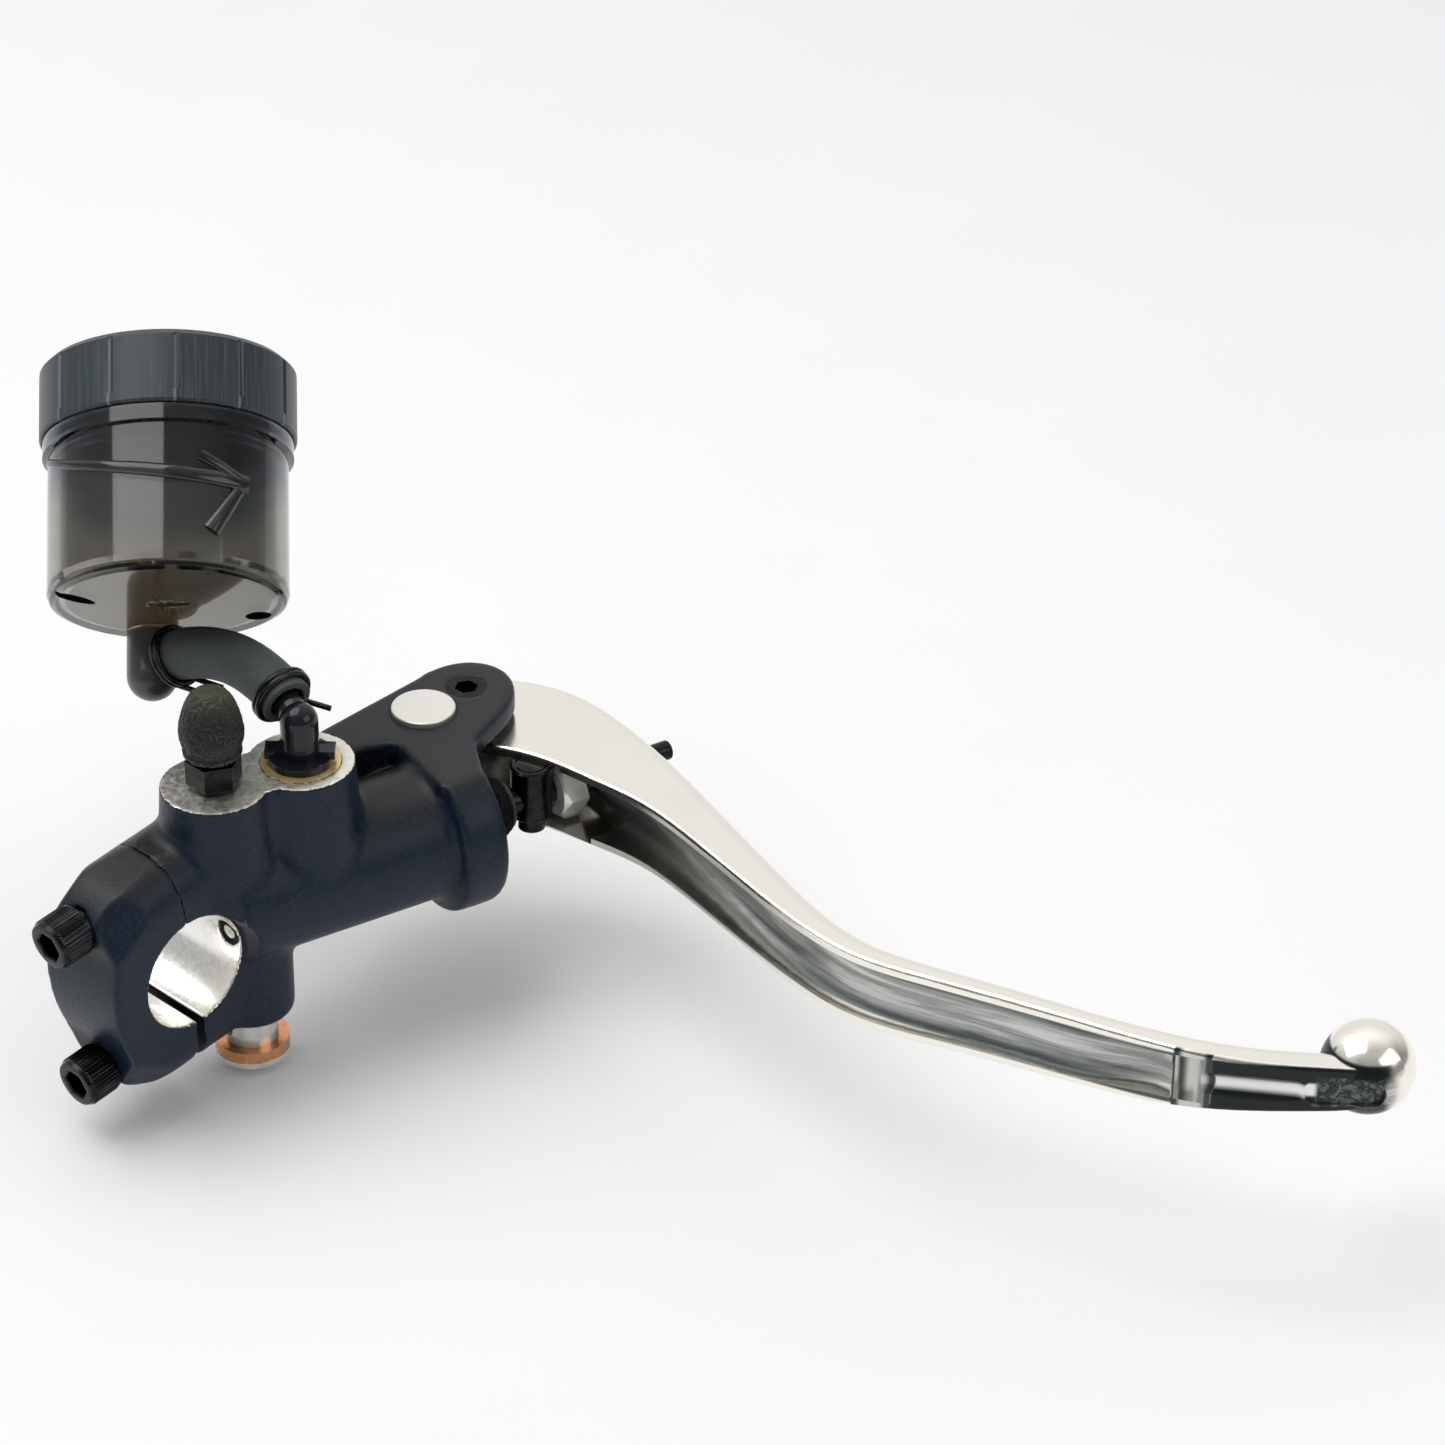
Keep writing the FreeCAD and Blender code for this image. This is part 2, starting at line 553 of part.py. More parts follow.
# Lever stations from the pivot boss to the ball: back edge (x, y), front edge (x, y),
# top z, bottom z and the rounding of the front corners.
LEVER_STATIONS = [
    (-8.6, 74.0, -8.6, 84.0, 15.3, -0.3, 1.4),
    (-2.0, 69.4, -2.4, 92.6, 15.4, -0.4, 2.2),
    (6.0, 70.2, 5.4, 96.9, 15.5, -0.5, 2.8),
    (17.2, 75.4, 16.0, 98.4, 15.5, -0.5, 3.2),
    (31.0, 78.0, 32.0, 96.0, 15.5, 0.0, 3.4),
    (45.0, 79.0, 47.5, 92.0, 15.5, 0.6, 3.6),
    (60.0, 77.0, 63.0, 87.2, 15.5, 0.9, 3.8),
    (75.0, 74.0, 77.5, 82.7, 15.5, 0.9, 3.9),
    (90.0, 71.4, 91.5, 78.8, 15.4, 0.6, 3.8),
    (105.0, 71.0, 104.3, 77.5, 15.2, 0.2, 3.6),
    (120.0, 75.2, 118.7, 80.9, 15.0, 0.3, 3.4),
    (135.0, 80.5, 133.4, 85.8, 14.8, 0.5, 3.3),
    (150.0, 85.5, 148.1, 90.7, 14.5, 0.8, 3.3),
    (163.0, 90.4, 160.4, 95.7, 14.1, 1.4, 3.2),
    (175.0, 97.2, 171.4, 102.4, 13.4, 2.6, 3.0),
    (183.6, 104.2, 179.2, 109.0, 12.8, 3.2, 2.8),
    (190.0, 110.4, 186.0, 114.4, 12.2, 3.8, 2.6),
]


def rounded_section(back, front, top, bottom, back_round, front_round):
    """A closed upright section between two plan points, with rounded corners."""
    across = (front - back).normalize()
    up = Z_AXIS
    width = (V(front.x, front.y, 0) - V(back.x, back.y, 0)).Length
    base = V(back.x, back.y, 0)

    def at(w, z):
        return base + across * w + up * z

    def corner(w, z, w_sign, z_sign, radius):
        centre_w = w - w_sign * radius
        centre_z = z - z_sign * radius
        near = at(w, centre_z)
        far = at(centre_w, z)
        half = radius * math.sqrt(0.5)
        middle = at(centre_w + w_sign * half, centre_z + z_sign * half)
        return near, middle, far

    bb = corner(0, bottom, -1, -1, back_round)
    fb = corner(width, bottom, 1, -1, front_round)
    ft = corner(width, top, 1, 1, front_round)
    bt = corner(0, top, -1, 1, back_round)
    edges = [
        Part.Arc(bb[0], bb[1], bb[2]).toShape(), Part.makeLine(bb[2], fb[2]),
        Part.Arc(fb[2], fb[1], fb[0]).toShape(), Part.makeLine(fb[0], ft[0]),
        Part.Arc(ft[0], ft[1], ft[2]).toShape(), Part.makeLine(ft[2], bt[2]),
        Part.Arc(bt[2], bt[1], bt[0]).toShape(), Part.makeLine(bt[0], bb[0]),
    ]
    return Part.Wire(edges)


def lever_skin():
    sections = []
    for bx, by, fx, fy, top, bottom, front_round in LEVER_STATIONS:
        sections.append(rounded_section(V(bx, by, 0), V(fx, fy, 0), top, bottom, 0.7, front_round))
    return Part.makeLoft(sections, True, False)


def gutter_section(back, across, depth, middle, half):
    """A closed section that opens at the lever's back and rounds in to a depth, like a gutter."""
    mouth = 6.0
    fullness = 0.8               # 1 gives a half ellipse, less gives a squarer gutter

    def at(w, z):
        return back + across * w + Z_AXIS * z

    hollow = []
    for i in range(9):
        turn = math.radians(90 - 22.5 * i)
        reach = depth * max(math.cos(turn), 0.0) ** fullness
        hollow.append(at(reach, middle + half * math.sin(turn)))
    curve = Part.BSplineCurve()
    curve.interpolate(hollow)
    top_out = at(-mouth, middle + half)
    bottom_out = at(-mouth, middle - half)
    return Part.Wire([Part.makeLine(top_out, hollow[0]), curve.toShape(),
                      Part.makeLine(hollow[-1], bottom_out), Part.makeLine(bottom_out, top_out)])


def lever_channel():
    """The hollow along the lever's back, from the trunnion to the cross notch."""
    sections = []
    flange = 1.7
    for bx, by, fx, fy, top, bottom, _ in LEVER_STATIONS[3:14]:
        back = V(bx, by, 0)
        across = V(fx, fy, 0) - back
        thick = across.Length
        across.normalize()
        wall = min(5.2, 1.3 + 0.16 * thick)
        half = (top - bottom) / 2 - flange
        sections.append(gutter_section(back, across, thick - wall, (top + bottom) / 2, half))
    return Part.makeLoft(sections, True, False)


def rod_window():
    """Opening for the adjuster and pushrod, wide enough for the lever to swing past them."""
    half = NUT_ACROSS / math.sqrt(3) + 0.2
    room = Part.makeBox(22, 24.5, 2 * half, V(-10.2, 68, AXIS_Z - half))
    slot = Part.makeBox(11.2, 30, 5.6, V(-8.4, 78, AXIS_Z - 2.8))
    return barrel(fuse(room, slot))


def lever_blade():
    pivot = barrel_point(PIVOT_T, PIVOT_S, 0)
    low = 2 * AXIS_Z - (EAR_TOP_Z - EAR_THICKNESS) + 0.15
    high = EAR_TOP_Z - EAR_THICKNESS - 0.15
    boss = post(8.2, pivot.x, pivot.y, low, high)
    ball = Part.makeSphere(BALL_RADIUS, BALL)
    solid = lever_skin().fuse([boss, ball])
    cuts = [lever_channel(), rod_window(), post(5.0, pivot.x, pivot.y, -10, 30),
            barrel(post(PIN_RADIUS + RUN, 0, PIN_S, AXIS_Z, PIN_TOP + RUN)),
            barrel(post(PIN_SPIGOT_RADIUS + RUN, 0, PIN_S, -10, AXIS_Z))]
    cuts += tip_recesses()
    return solid.cut(cuts)


def tip_recesses():
    """Cross notch where the lever is meant to break in a fall, groove beyond it, finger pad."""
    notch = Part.makeCylinder(2.7, 9.4, V(166.2, 90.9, 3.2))
    a = V(168.5, 92.6, 0)
    b = V(181.5, 101.6, 0)
    pad_a = V(182.6, 102.6, 0)
    pad_b = V(193.4, 112.0, 0)
    return [notch, round_groove(a, b, 1.5, 2.9, 7.8), slot_cut(pad_a, pad_b, 1.1, 5.0, 10.6)]


def round_groove(start, end, depth, radius, z):
    """A round-bottomed groove with ball ends, sunk from the lever's back face."""
    run = end - start
    outward = run.cross(Z_AXIS).normalize()
    lift = outward * (radius - depth) + V(0, 0, z)
    middle = Part.makeCylinder(radius, run.Length, start + lift, run)
    return middle.fuse([Part.makeSphere(radius, start + lift), Part.makeSphere(radius, end + lift)])


def slot_cut(start, end, depth, low, high):
    """A shallow rounded slot sunk from the lever's back face between two plan points."""
    run = end - start
    length = run.Length
    half = (high - low) / 2
    bar = Part.makeBox(length - 2 * half, 2 * depth, 2 * half, V(half, -depth, -half))
    ends = [Part.makeCylinder(half, 2 * depth, V(x, -depth, 0), Y_AXIS) for x in (half, length - half)]
    slot = bar.fuse(ends)
    slot.Placement = FreeCAD.Placement(start + V(0, 0, (low + high) / 2),
                                       FreeCAD.Rotation(Z_AXIS, math.degrees(math.atan2(run.y, run.x))))
    return slot


def lever_bush():
    pivot = barrel_point(PIVOT_T, PIVOT_S, 0)
    low = 2 * AXIS_Z - (EAR_TOP_Z - EAR_THICKNESS) + 0.1
    high = EAR_TOP_Z - EAR_THICKNESS - 0.1
    return post(5.0 - FIT, pivot.x, pivot.y, low, high).cut(post(3.0 + RUN, pivot.x, pivot.y, -10, 30))


def pivot_bolt():
    pivot = barrel_point(PIVOT_T, PIVOT_S, 0)
    head = post(3.9 - FIT, pivot.x, pivot.y, EAR_TOP_Z - 2.2 + FIT, EAR_TOP_Z - 0.2)
    shank = post(3.0, pivot.x, pivot.y, -12.4, EAR_TOP_Z - 1)
    socket = hexagon(4, 1.6, V(pivot.x, pivot.y, EAR_TOP_Z - 1.7), Z_AXIS)
    return fuse(head, shank).cut(socket)


def pivot_nut():
    pivot = barrel_point(PIVOT_T, PIVOT_S, 0)
    under = 2 * AXIS_Z - (EAR_TOP_Z - EAR_THICKNESS) - 3.6
    nut = hexagon(10, 4.8, V(pivot.x, pivot.y, under - FIT - 4.8), Z_AXIS)
    crown = Part.makeCone(4.9, 9.7, 4.8, V(pivot.x, pivot.y, under - FIT - 4.8))
    return nut.common(crown).cut(post(3.0 + FIT, pivot.x, pivot.y, -20, 0))


# ---- reservoir ----------------------------------------------------------------------------


def jar_point(across, up, height):
    return JAR_BASE + JAR_ACROSS * across + JAR_UP * up + JAR_AXIS * height


def outlet_elbow():
    """The reservoir's outlet: a stub under the base that turns into a hose spigot."""
    root = jar_point(*JAR_OUTLET, 1.0)
    curve = hose_curve()
    corner = hose_path()[-1]
    spigot_length = 7.4
    spigot_end = curve.parameterAtDistance(curve.length() - spigot_length, curve.FirstParameter)
    aim = curve.value(spigot_end) - corner
    aim.normalize()
    stub = Part.makeCylinder(OUTLET_STUB_RADIUS, (corner - root).Length, root, corner - root)
    spigot = Part.makeCylinder(SPIGOT_RADIUS, spigot_length, corner, aim)
    barb = Part.makeCone(BARB_RADIUS, SPIGOT_RADIUS, 1.6, corner + aim * (spigot_length - 2), aim)
    solid = stub.fuse([Part.makeSphere(OUTLET_STUB_RADIUS, corner), spigot, barb])
    way_down = Part.makeCylinder(1.9, (corner - root).Length + 4, root + JAR_AXIS * 4, corner - root)
    way_out = Part.makeCylinder(1.9, 12, corner, aim)
    return solid, way_down.fuse([Part.makeSphere(1.9, corner), way_out])


def base_pocket(across, up, length, width, turn_deg):
    """A blind slot moulded into the underside of the reservoir's base."""
    pocket = Part.makeBox(length, width, 1.4, V(-length / 2, -width / 2, -0.2))
    upright = [e for e in pocket.Edges if abs(e.tangentAt(0).z) > 0.9]
    pocket = pocket.makeFillet(width / 2 - 0.01, upright)
    return jar(pocket.rotated(ORIGIN, Z_AXIS, turn_deg).translated(V(across, up, 0)))


def reservoir_body():
    inner = JAR_RADIUS - JAR_WALL
    outline = [(0, 0), (JAR_RADIUS - 1.6, 0), (JAR_RADIUS - 0.5, 0.5), (JAR_RADIUS, 1.6),
               (JAR_RADIUS, JAR_SHOULDER), (JAR_RADIUS + 1.0, JAR_SHOULDER + 0.4),
               (JAR_RADIUS + 1.0, JAR_NECK), (JAR_NECK_RADIUS, JAR_NECK), (JAR_NECK_RADIUS, JAR_TOP),
               (inner - 1.6, JAR_TOP), (inner - 1.6, JAR_NECK - 1.5), (inner, JAR_SHOULDER - 2),
               (inner, 3.4), (inner - 1.2, 2.4), (0, 2.4)]
    shell = jar(turned(outline, ORIGIN, Z_AXIS))
    outlet, way = outlet_elbow()
    pockets = [base_pocket(-16.0, -7.4, 5.4, 3.4, -38), base_pocket(16.6, 4.6, 8.2, 2.4, 45)]
    return shell.fuse(outlet).cut([way] + pockets)


def reservoir_cap():
    bottom = JAR_NECK + 0.3
    top = JAR_CAP_TOP
    outer = JAR_CAP_RADIUS
    inner = JAR_NECK_RADIUS + 0.1
    outline = [(inner, bottom), (outer - 0.3, bottom), (outer, bottom + 0.5), (outer, top - 1.2),
               (outer - 1.2, top), (0, top), (0, top - 1.9), (inner, top - 1.9)]
    cap = turned(outline, ORIGIN, Z_AXIS)
    depth = 0.4
    groove_radius = 0.7
    grooves = []
    for i in range(CAP_GROOVES):
        angle = math.radians(CAP_TURN_DEG + 360 * i / CAP_GROOVES)
        reach = outer + groove_radius - depth
        across, up = reach * math.cos(angle), reach * math.sin(angle)
        grooves.append(post(groove_radius, across, up, bottom + 2.2, top + 1))
    return jar(cap.cut(grooves))


def diaphragm_ring():
    rim = JAR_CAP_TOP - 1.9
    outline = [(16.0, JAR_TOP + 1.1), (JAR_NECK_RADIUS - 0.2, JAR_TOP + 1.1),
               (JAR_NECK_RADIUS - 0.2, rim - RUN),
               (16.0, rim - RUN)]
    return jar(turned(outline, ORIGIN, Z_AXIS))


def reservoir_diaphragm():
    """Rubber bellows that hangs from the rim and follows the fluid level."""
    rim = JAR_TOP + FIT
    top = JAR_TOP + 1.1 - FIT
    outline = [(JAR_NECK_RADIUS - 0.2, rim), (JAR_NECK_RADIUS - 0.2, top), (16.2, top), (15.4, top - 2.4),
               (11.6, top - 2.4), (10.8, top - 8.2), (0, top - 8.2), (0, top - 9.4), (11.8, top - 9.4),
               (12.6, top - 3.6), (16.4, top - 3.6), (16.4, rim)]
    return jar(turned(outline, ORIGIN, Z_AXIS))


# ---- hose ---------------------------------------------------------------------------------


def hose_path():
    """Centre line from the inlet elbow's bend to the corner of the reservoir's outlet."""
    bend = elbow_points()[1]
    return [bend, V(3.6, 30.1, 41.8), V(-1.8, 30.8, 43.1), V(-10.0, 31.0, 43.8), V(-18.3, 30.2, 42.3),
            V(-25.0, 28.7, 39.2), jar_point(*JAR_OUTLET, -8.5)]


def hose_curve():
    path = hose_path()
    curve = Part.BSplineCurve()
    curve.interpolate(path)
    return curve


def hose_tube(radius, curve, start, end):
    """Sweep a round section along the part of the curve between two parameters."""
    spine = Part.Wire(curve.toShape(start, end))
    section = Part.Wire(Part.makeCircle(radius, curve.value(start), V(*curve.tangent(start)[0])))
    return spine.makePipeShell([section], True, False)


def hose_span():
    curve = hose_curve()
    first = curve.parameterAtDistance(HOSE_INSET_ELBOW, curve.FirstParameter)
    last = curve.parameterAtDistance(curve.length() - HOSE_INSET_JAR, curve.FirstParameter)
    return curve, first, last


def reservoir_hose():
    curve, first, last = hose_span()
    outer = hose_tube(HOSE_RADIUS, curve, first, last)
    inner = hose_tube(HOSE_BORE, curve, first, last)
    return outer.cut(inner)


def wire_clip(distance, root_aim, tang_aim):
    """A double-coil wire spring clip round the hose, with its two tangs side by side."""
    curve = hose_curve()
    parameter = curve.parameterAtDistance(distance, curve.FirstParameter)
    centre = curve.value(parameter)
    along = V(*curve.tangent(parameter)[0])
    out = root_aim - along * root_aim.dot(along)
    out.normalize()
    wire = 0.55
    hold = HOSE_RADIUS + wire + FIT
    parts = []
    for coil in (-1, 1):
        middle = centre + along * (coil * 0.5)
        parts.append(Part.makeTorus(hold, wire, middle, along))
        spread = FreeCAD.Rotation(along, coil * 20.0)
        root = middle + spread.multVec(out) * hold
        parts.append(Part.makeCylinder(wire, 5.6, root, tang_aim))
        parts.append(Part.makeSphere(wire, root))
    return parts[0].fuse(parts[1:])


def hose_clips():
    length = hose_curve().length()
    near_elbow = wire_clip(HOSE_INSET_ELBOW + 2.2, V(0.75, 0.20, -0.62), V(0.82, 0.53, -0.22))
    near_jar = wire_clip(length - HOSE_INSET_JAR - 1.6, V(0.74, -0.05, -0.83), V(0.81, 0.53, -0.26))
    return [near_elbow, near_jar]


# ---- build --------------------------------------------------------------------------------


def build():
    os.makedirs("parts", exist_ok=True)
    makers = [cylinder_body, clamp_cap, bar_locating_pin, badge_disc, bleed_screw, bleed_screw_cap,
              inlet_elbow, inlet_o_ring, inlet_retaining_ring, banjo_bolt, piston, primary_cup,
              secondary_seal, return_spring, piston_stop_washer, piston_circlip, dust_boot,
              trunnion_pin, pushrod, adjuster_nut, lever_blade, lever_bush, pivot_bolt, pivot_nut,
              reservoir_body, reservoir_cap, diaphragm_ring, reservoir_diaphragm, reservoir_hose]
    for make in makers:
        save(make.__name__, make())
    for make_several in (clamp_bolts, crush_washers, hose_clips):
        save(make_several.__name__, *make_several())


build()
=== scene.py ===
"""Looks of the radial brake master cylinder: materials for the CAD nodes, and mesh pieces that stand
for the cast, knurled and soft parts. Metres in the row frame: +X along the bar, +Y forward, +Z up."""
import json
import math

import bmesh
import bpy
import numpy as np
from mathutils import Matrix, Vector, noise


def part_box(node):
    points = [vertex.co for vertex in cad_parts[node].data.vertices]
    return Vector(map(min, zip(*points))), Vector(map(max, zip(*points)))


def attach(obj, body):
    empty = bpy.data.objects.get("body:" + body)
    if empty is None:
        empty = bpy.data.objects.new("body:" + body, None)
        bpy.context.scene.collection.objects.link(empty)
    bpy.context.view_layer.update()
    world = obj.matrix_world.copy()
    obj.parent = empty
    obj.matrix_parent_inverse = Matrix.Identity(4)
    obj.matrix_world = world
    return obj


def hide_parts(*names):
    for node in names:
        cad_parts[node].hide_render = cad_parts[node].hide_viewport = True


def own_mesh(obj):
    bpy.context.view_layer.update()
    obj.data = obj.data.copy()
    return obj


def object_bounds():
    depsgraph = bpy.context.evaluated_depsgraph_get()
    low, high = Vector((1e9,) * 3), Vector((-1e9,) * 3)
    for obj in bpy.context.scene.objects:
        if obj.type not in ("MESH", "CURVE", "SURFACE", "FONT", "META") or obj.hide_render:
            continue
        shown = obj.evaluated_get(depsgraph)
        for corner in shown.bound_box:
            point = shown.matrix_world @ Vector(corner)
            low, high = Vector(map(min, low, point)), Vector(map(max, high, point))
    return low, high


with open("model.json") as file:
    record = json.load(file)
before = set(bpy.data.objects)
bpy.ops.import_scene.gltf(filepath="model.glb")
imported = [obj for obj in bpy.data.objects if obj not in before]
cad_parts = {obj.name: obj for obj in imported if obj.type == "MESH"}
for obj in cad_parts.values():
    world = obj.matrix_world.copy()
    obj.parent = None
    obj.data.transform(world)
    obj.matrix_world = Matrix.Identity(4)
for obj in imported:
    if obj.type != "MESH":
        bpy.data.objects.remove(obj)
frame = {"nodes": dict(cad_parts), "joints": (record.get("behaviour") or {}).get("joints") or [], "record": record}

cad_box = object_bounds()
nodes = frame["nodes"]
joints = {j["name"]: j for j in frame["joints"]}
MM = 0.001

# ---- places worked out from the frame -------------------------------------------------------
PUSH_AXIS = -Vector(joints["piston_slide"]["axis"])          # along the cylinder, towards the lever
SIDE_AXIS = PUSH_AXIS.cross(Vector((0, 0, 1)))               # across the cylinder, outboard
AXIS_Z = joints["lever_pivot"]["pos_m"][2]
PIVOT = Vector(joints["lever_pivot"]["pos_m"])
JAR_BASE = Vector(joints["reservoir_cap_turn"]["pos_m"])
JAR_AXIS = Vector(joints["reservoir_cap_turn"]["axis"])
JAR_ACROSS = Vector((0, 0, 1)).cross(JAR_AXIS).normalized()
JAR_UP = JAR_AXIS.cross(JAR_ACROSS)
EAR_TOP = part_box("pivot_bolt")[1].z + 0.2 * MM
BOSS_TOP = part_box("inlet_retaining_ring")[1].z - 0.1 * MM
BAR_RADIUS = 11.1 * MM
WELD = 0.002 * MM                                            # points nearer than this are one

# ---- reservoir: places in its base are (across, up) in mm from the middle ---------------------
JAR_OUTLET = (4.0, -15.8)
BASE_SLOT = (16.6, 4.6)
BASE_SLOT_TURN = math.radians(45)
BASE_HOLE = (-16.0, -7.4)
BASE_HOLE_TURN = math.radians(-38)
JAR_WALL_RADIUS = 22.1       # mm
CAP_PANELS = 12
CAP_TURN = math.radians(7.4)
CAP_TOP = 45.2 * MM

# ---- casting, in mm: where it stays as machined ----------------------------------------------
CLAMP_HALF_WIDTH = 11.0      # a little over the clamp's own
CLAMP_HALF_HEIGHT = 26.0
CLAMP_FRONT = 14.0
BORE_HALF_WIDTH = 9.95
EAR_GAP_START = 64.2         # along the cylinder
EAR_GAP_HALF = 10.3          # a little over half the space between the ears
BORE_START = 20.0            # along the cylinder
BORE_WALL = 11.6

# ---- clamp screws ---------------------------------------------------------------------------
CLAMP_TILT = math.radians(6.5)
BOLT_PITCH = 32.8 * MM
BOLT_SEAT = -16.6 * MM
BOLT_HEAD_RADIUS = 4.9 * MM
BOLT_HEAD_LENGTH = 7.0 * MM
KNURLS = 44

# ---- lever: its hollow, and the notch, groove and pad near its tip ---------------------------
HOLLOW_LOW = 2.2 * MM
HOLLOW_HIGH = 13.0 * MM
NOTCH_X = 166.2 * MM
GROOVE_Z = 7.8 * MM
PAD_X = 183.5 * MM
PAD_END = PAD_X + 9.4 * MM

# ---- view and studio ------------------------------------------------------------------------
CAMERA_PLACE = Vector((0.5898, -0.4789, 0.5443))
CAMERA_RIGHT = Vector((0.7258018, 0.6878646, 0.0073473))
CAMERA_UP = Vector((-0.3810829, 0.3931625, 0.836779))
CAMERA_LENS_MM = 126.92
CAMERA_SHIFT_X = -0.00035
CAMERA_SHIFT_Y = -0.0037
WORLD_DIM = 0.24
WORLD_LIGHTS = [              # direction, cosine where each starts and is full, strength
    ((-0.573, 0.610, 0.5475), 0.25, 0.88, 0.58),
    ((0.0, 0.0, 1.0), 0.45, 0.95, 0.25),
    ((-0.7, -0.6, 0.4), 0.55, 0.95, 0.25),
]


def along(s, t=0.0, z=AXIS_Z):
    """A point in the cylinder's frame: s along the push axis, t outboard, z up, in metres."""
    return PUSH_AXIS * s + SIDE_AXIS * t + Vector((0, 0, z))


def jar_place(across, up, height):
    """A point over the reservoir's base, from distances in mm."""
    return JAR_BASE + (JAR_ACROSS * across + JAR_UP * up + JAR_AXIS * height) * MM


# ---- meshes ---------------------------------------------------------------------------------


def new_object(name, mesh):
    obj = bpy.data.objects.new(name, mesh)
    bpy.context.scene.collection.objects.link(obj)
    return obj


def finish_piece(obj, body, material, replaced=(), sharp_deg=40.0):
    obj.data.shade_smooth()
    obj.data.set_sharp_from_angle(angle=math.radians(sharp_deg))
    obj.data.materials.clear()
    for one in material if isinstance(material, (list, tuple)) else [material]:
        obj.data.materials.append(one)
    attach(obj, body)
    if replaced:
        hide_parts(*replaced)
    return obj


def welded_copy(node, name):
    """A copy of a CAD node's mesh with the seams between its faces joined."""
    mesh = nodes[node].data.copy()
    bm = bmesh.new()
    bm.from_mesh(mesh)
    bmesh.ops.remove_doubles(bm, verts=bm.verts, dist=WELD)
    bm.to_mesh(mesh)
    bm.free()
    for name_of in ("custom_normal", "sharp_face", "sharp_edge"):
        if name_of in mesh.attributes:
            mesh.attributes.remove(mesh.attributes[name_of])
    return new_object(name, mesh)


def remeshed(obj, voxel):
    """Replace an object's mesh with an even one, of quads about a voxel across."""
    modifier = obj.modifiers.new("remesh", "REMESH")
    modifier.mode = "VOXEL"
    modifier.voxel_size = voxel
    graph = bpy.context.evaluated_depsgraph_get()
    mesh = bpy.data.meshes.new_from_object(obj.evaluated_get(graph))
    obj.modifiers.clear()
    obj.data = mesh
    return obj


def vertex_array(mesh, field="co"):
    """A field of a mesh's vertices as rows of three numbers."""
    values = np.zeros(len(mesh.vertices) * 3, np.float32)
    mesh.vertices.foreach_get(field, values)
    return values.reshape(-1, 3).astype(float)


def set_vertices(mesh, places):
    mesh.vertices.foreach_set("co", places.astype(np.float32).ravel())
    mesh.update()


def relaxed(places, edges, weight, steps):
    """Move each vertex towards the mean of its neighbours, which rounds creases off."""
    count = len(places)
    valence = np.maximum(np.bincount(edges.ravel(), minlength=count), 1)[:, None]
    places = places.copy()
    for _ in range(steps):
        total = np.zeros_like(places)
        for k in range(3):
            total[:, k] += np.bincount(edges[:, 0], places[edges[:, 1], k], count)
            total[:, k] += np.bincount(edges[:, 1], places[edges[:, 0], k], count)
        places += weight[:, None] * 0.5 * (total / valence - places)
    return places


def forge(obj, free, fill_steps, round_steps):
    """Fill inner corners and round outer ones, as a forging has them, where free is 1."""
    mesh = obj.data
    edges = np.zeros(len(mesh.edges) * 2, np.int32)
    mesh.edges.foreach_get("vertices", edges)
    edges = edges.reshape(-1, 2)
    places = vertex_array(mesh)
    normals = vertex_array(mesh, "normal")
    filled = relaxed(places, edges, free, fill_steps)
    lift = ((filled - places) * normals).sum(1)
    share = np.clip(lift / (0.04 * MM), 0, 1)[:, None]
    places = places + (filled - places) * share
    places = relaxed(places, edges, free, round_steps)
    set_vertices(mesh, places)


def roughen(obj, height, pattern):
    """Push vertices along their normals by height times pattern(point), pattern being -1 to 1."""
    mesh = obj.data
    places = vertex_array(mesh)
    normals = vertex_array(mesh, "normal")
    shift = np.array([pattern(Vector(p)) for p in places])
    set_vertices(mesh, places + normals * (height * shift)[:, None])


def ring_mesh(name, rings, closed=False):
    """Skin a row of equal-length rings of points; a ring drawn in to one point closes an end."""
    count = len(rings[0])
    points = [p for ring in rings for p in ring]
    faces = []
    last = len(rings) if closed else len(rings) - 1
    for i in range(last):
        a = i * count
        b = ((i + 1) % len(rings)) * count
        for k in range(count):
            n = (k + 1) % count
            faces.append((a + k, a + n, b + n, b + k))
    mesh = bpy.data.meshes.new(name)
    mesh.from_pydata(points, [], faces)
    bm = bmesh.new()
    bm.from_mesh(mesh)
    bmesh.ops.remove_doubles(bm, verts=bm.verts, dist=WELD)
    bmesh.ops.recalc_face_normals(bm, faces=bm.faces)
    bm.to_mesh(mesh)
    bm.free()
    return new_object(name, mesh)


def stand(base, axis):
    """Matrix that takes Z to axis and the origin to base."""
    turn = Vector((0, 0, 1)).rotation_difference(Vector(axis)).to_matrix().to_4x4()
    return Matrix.Translation(base) @ turn


def lathe(name, outline, base, axis, count=128, closed=True):
    """Turn an outline of (radius, height) in mm about an axis."""
    place = stand(base, axis)
    rings = []
    for radius, height in outline:
        ring = []
        for k in range(count):
            angle = 2 * math.pi * k / count
            flat = Vector((radius * math.cos(angle), radius * math.sin(angle), height)) * MM
            ring.append(place @ flat)
        rings.append(ring)
    return ring_mesh(name, rings, closed)


# ---- shader building ------------------------------------------------------------------------


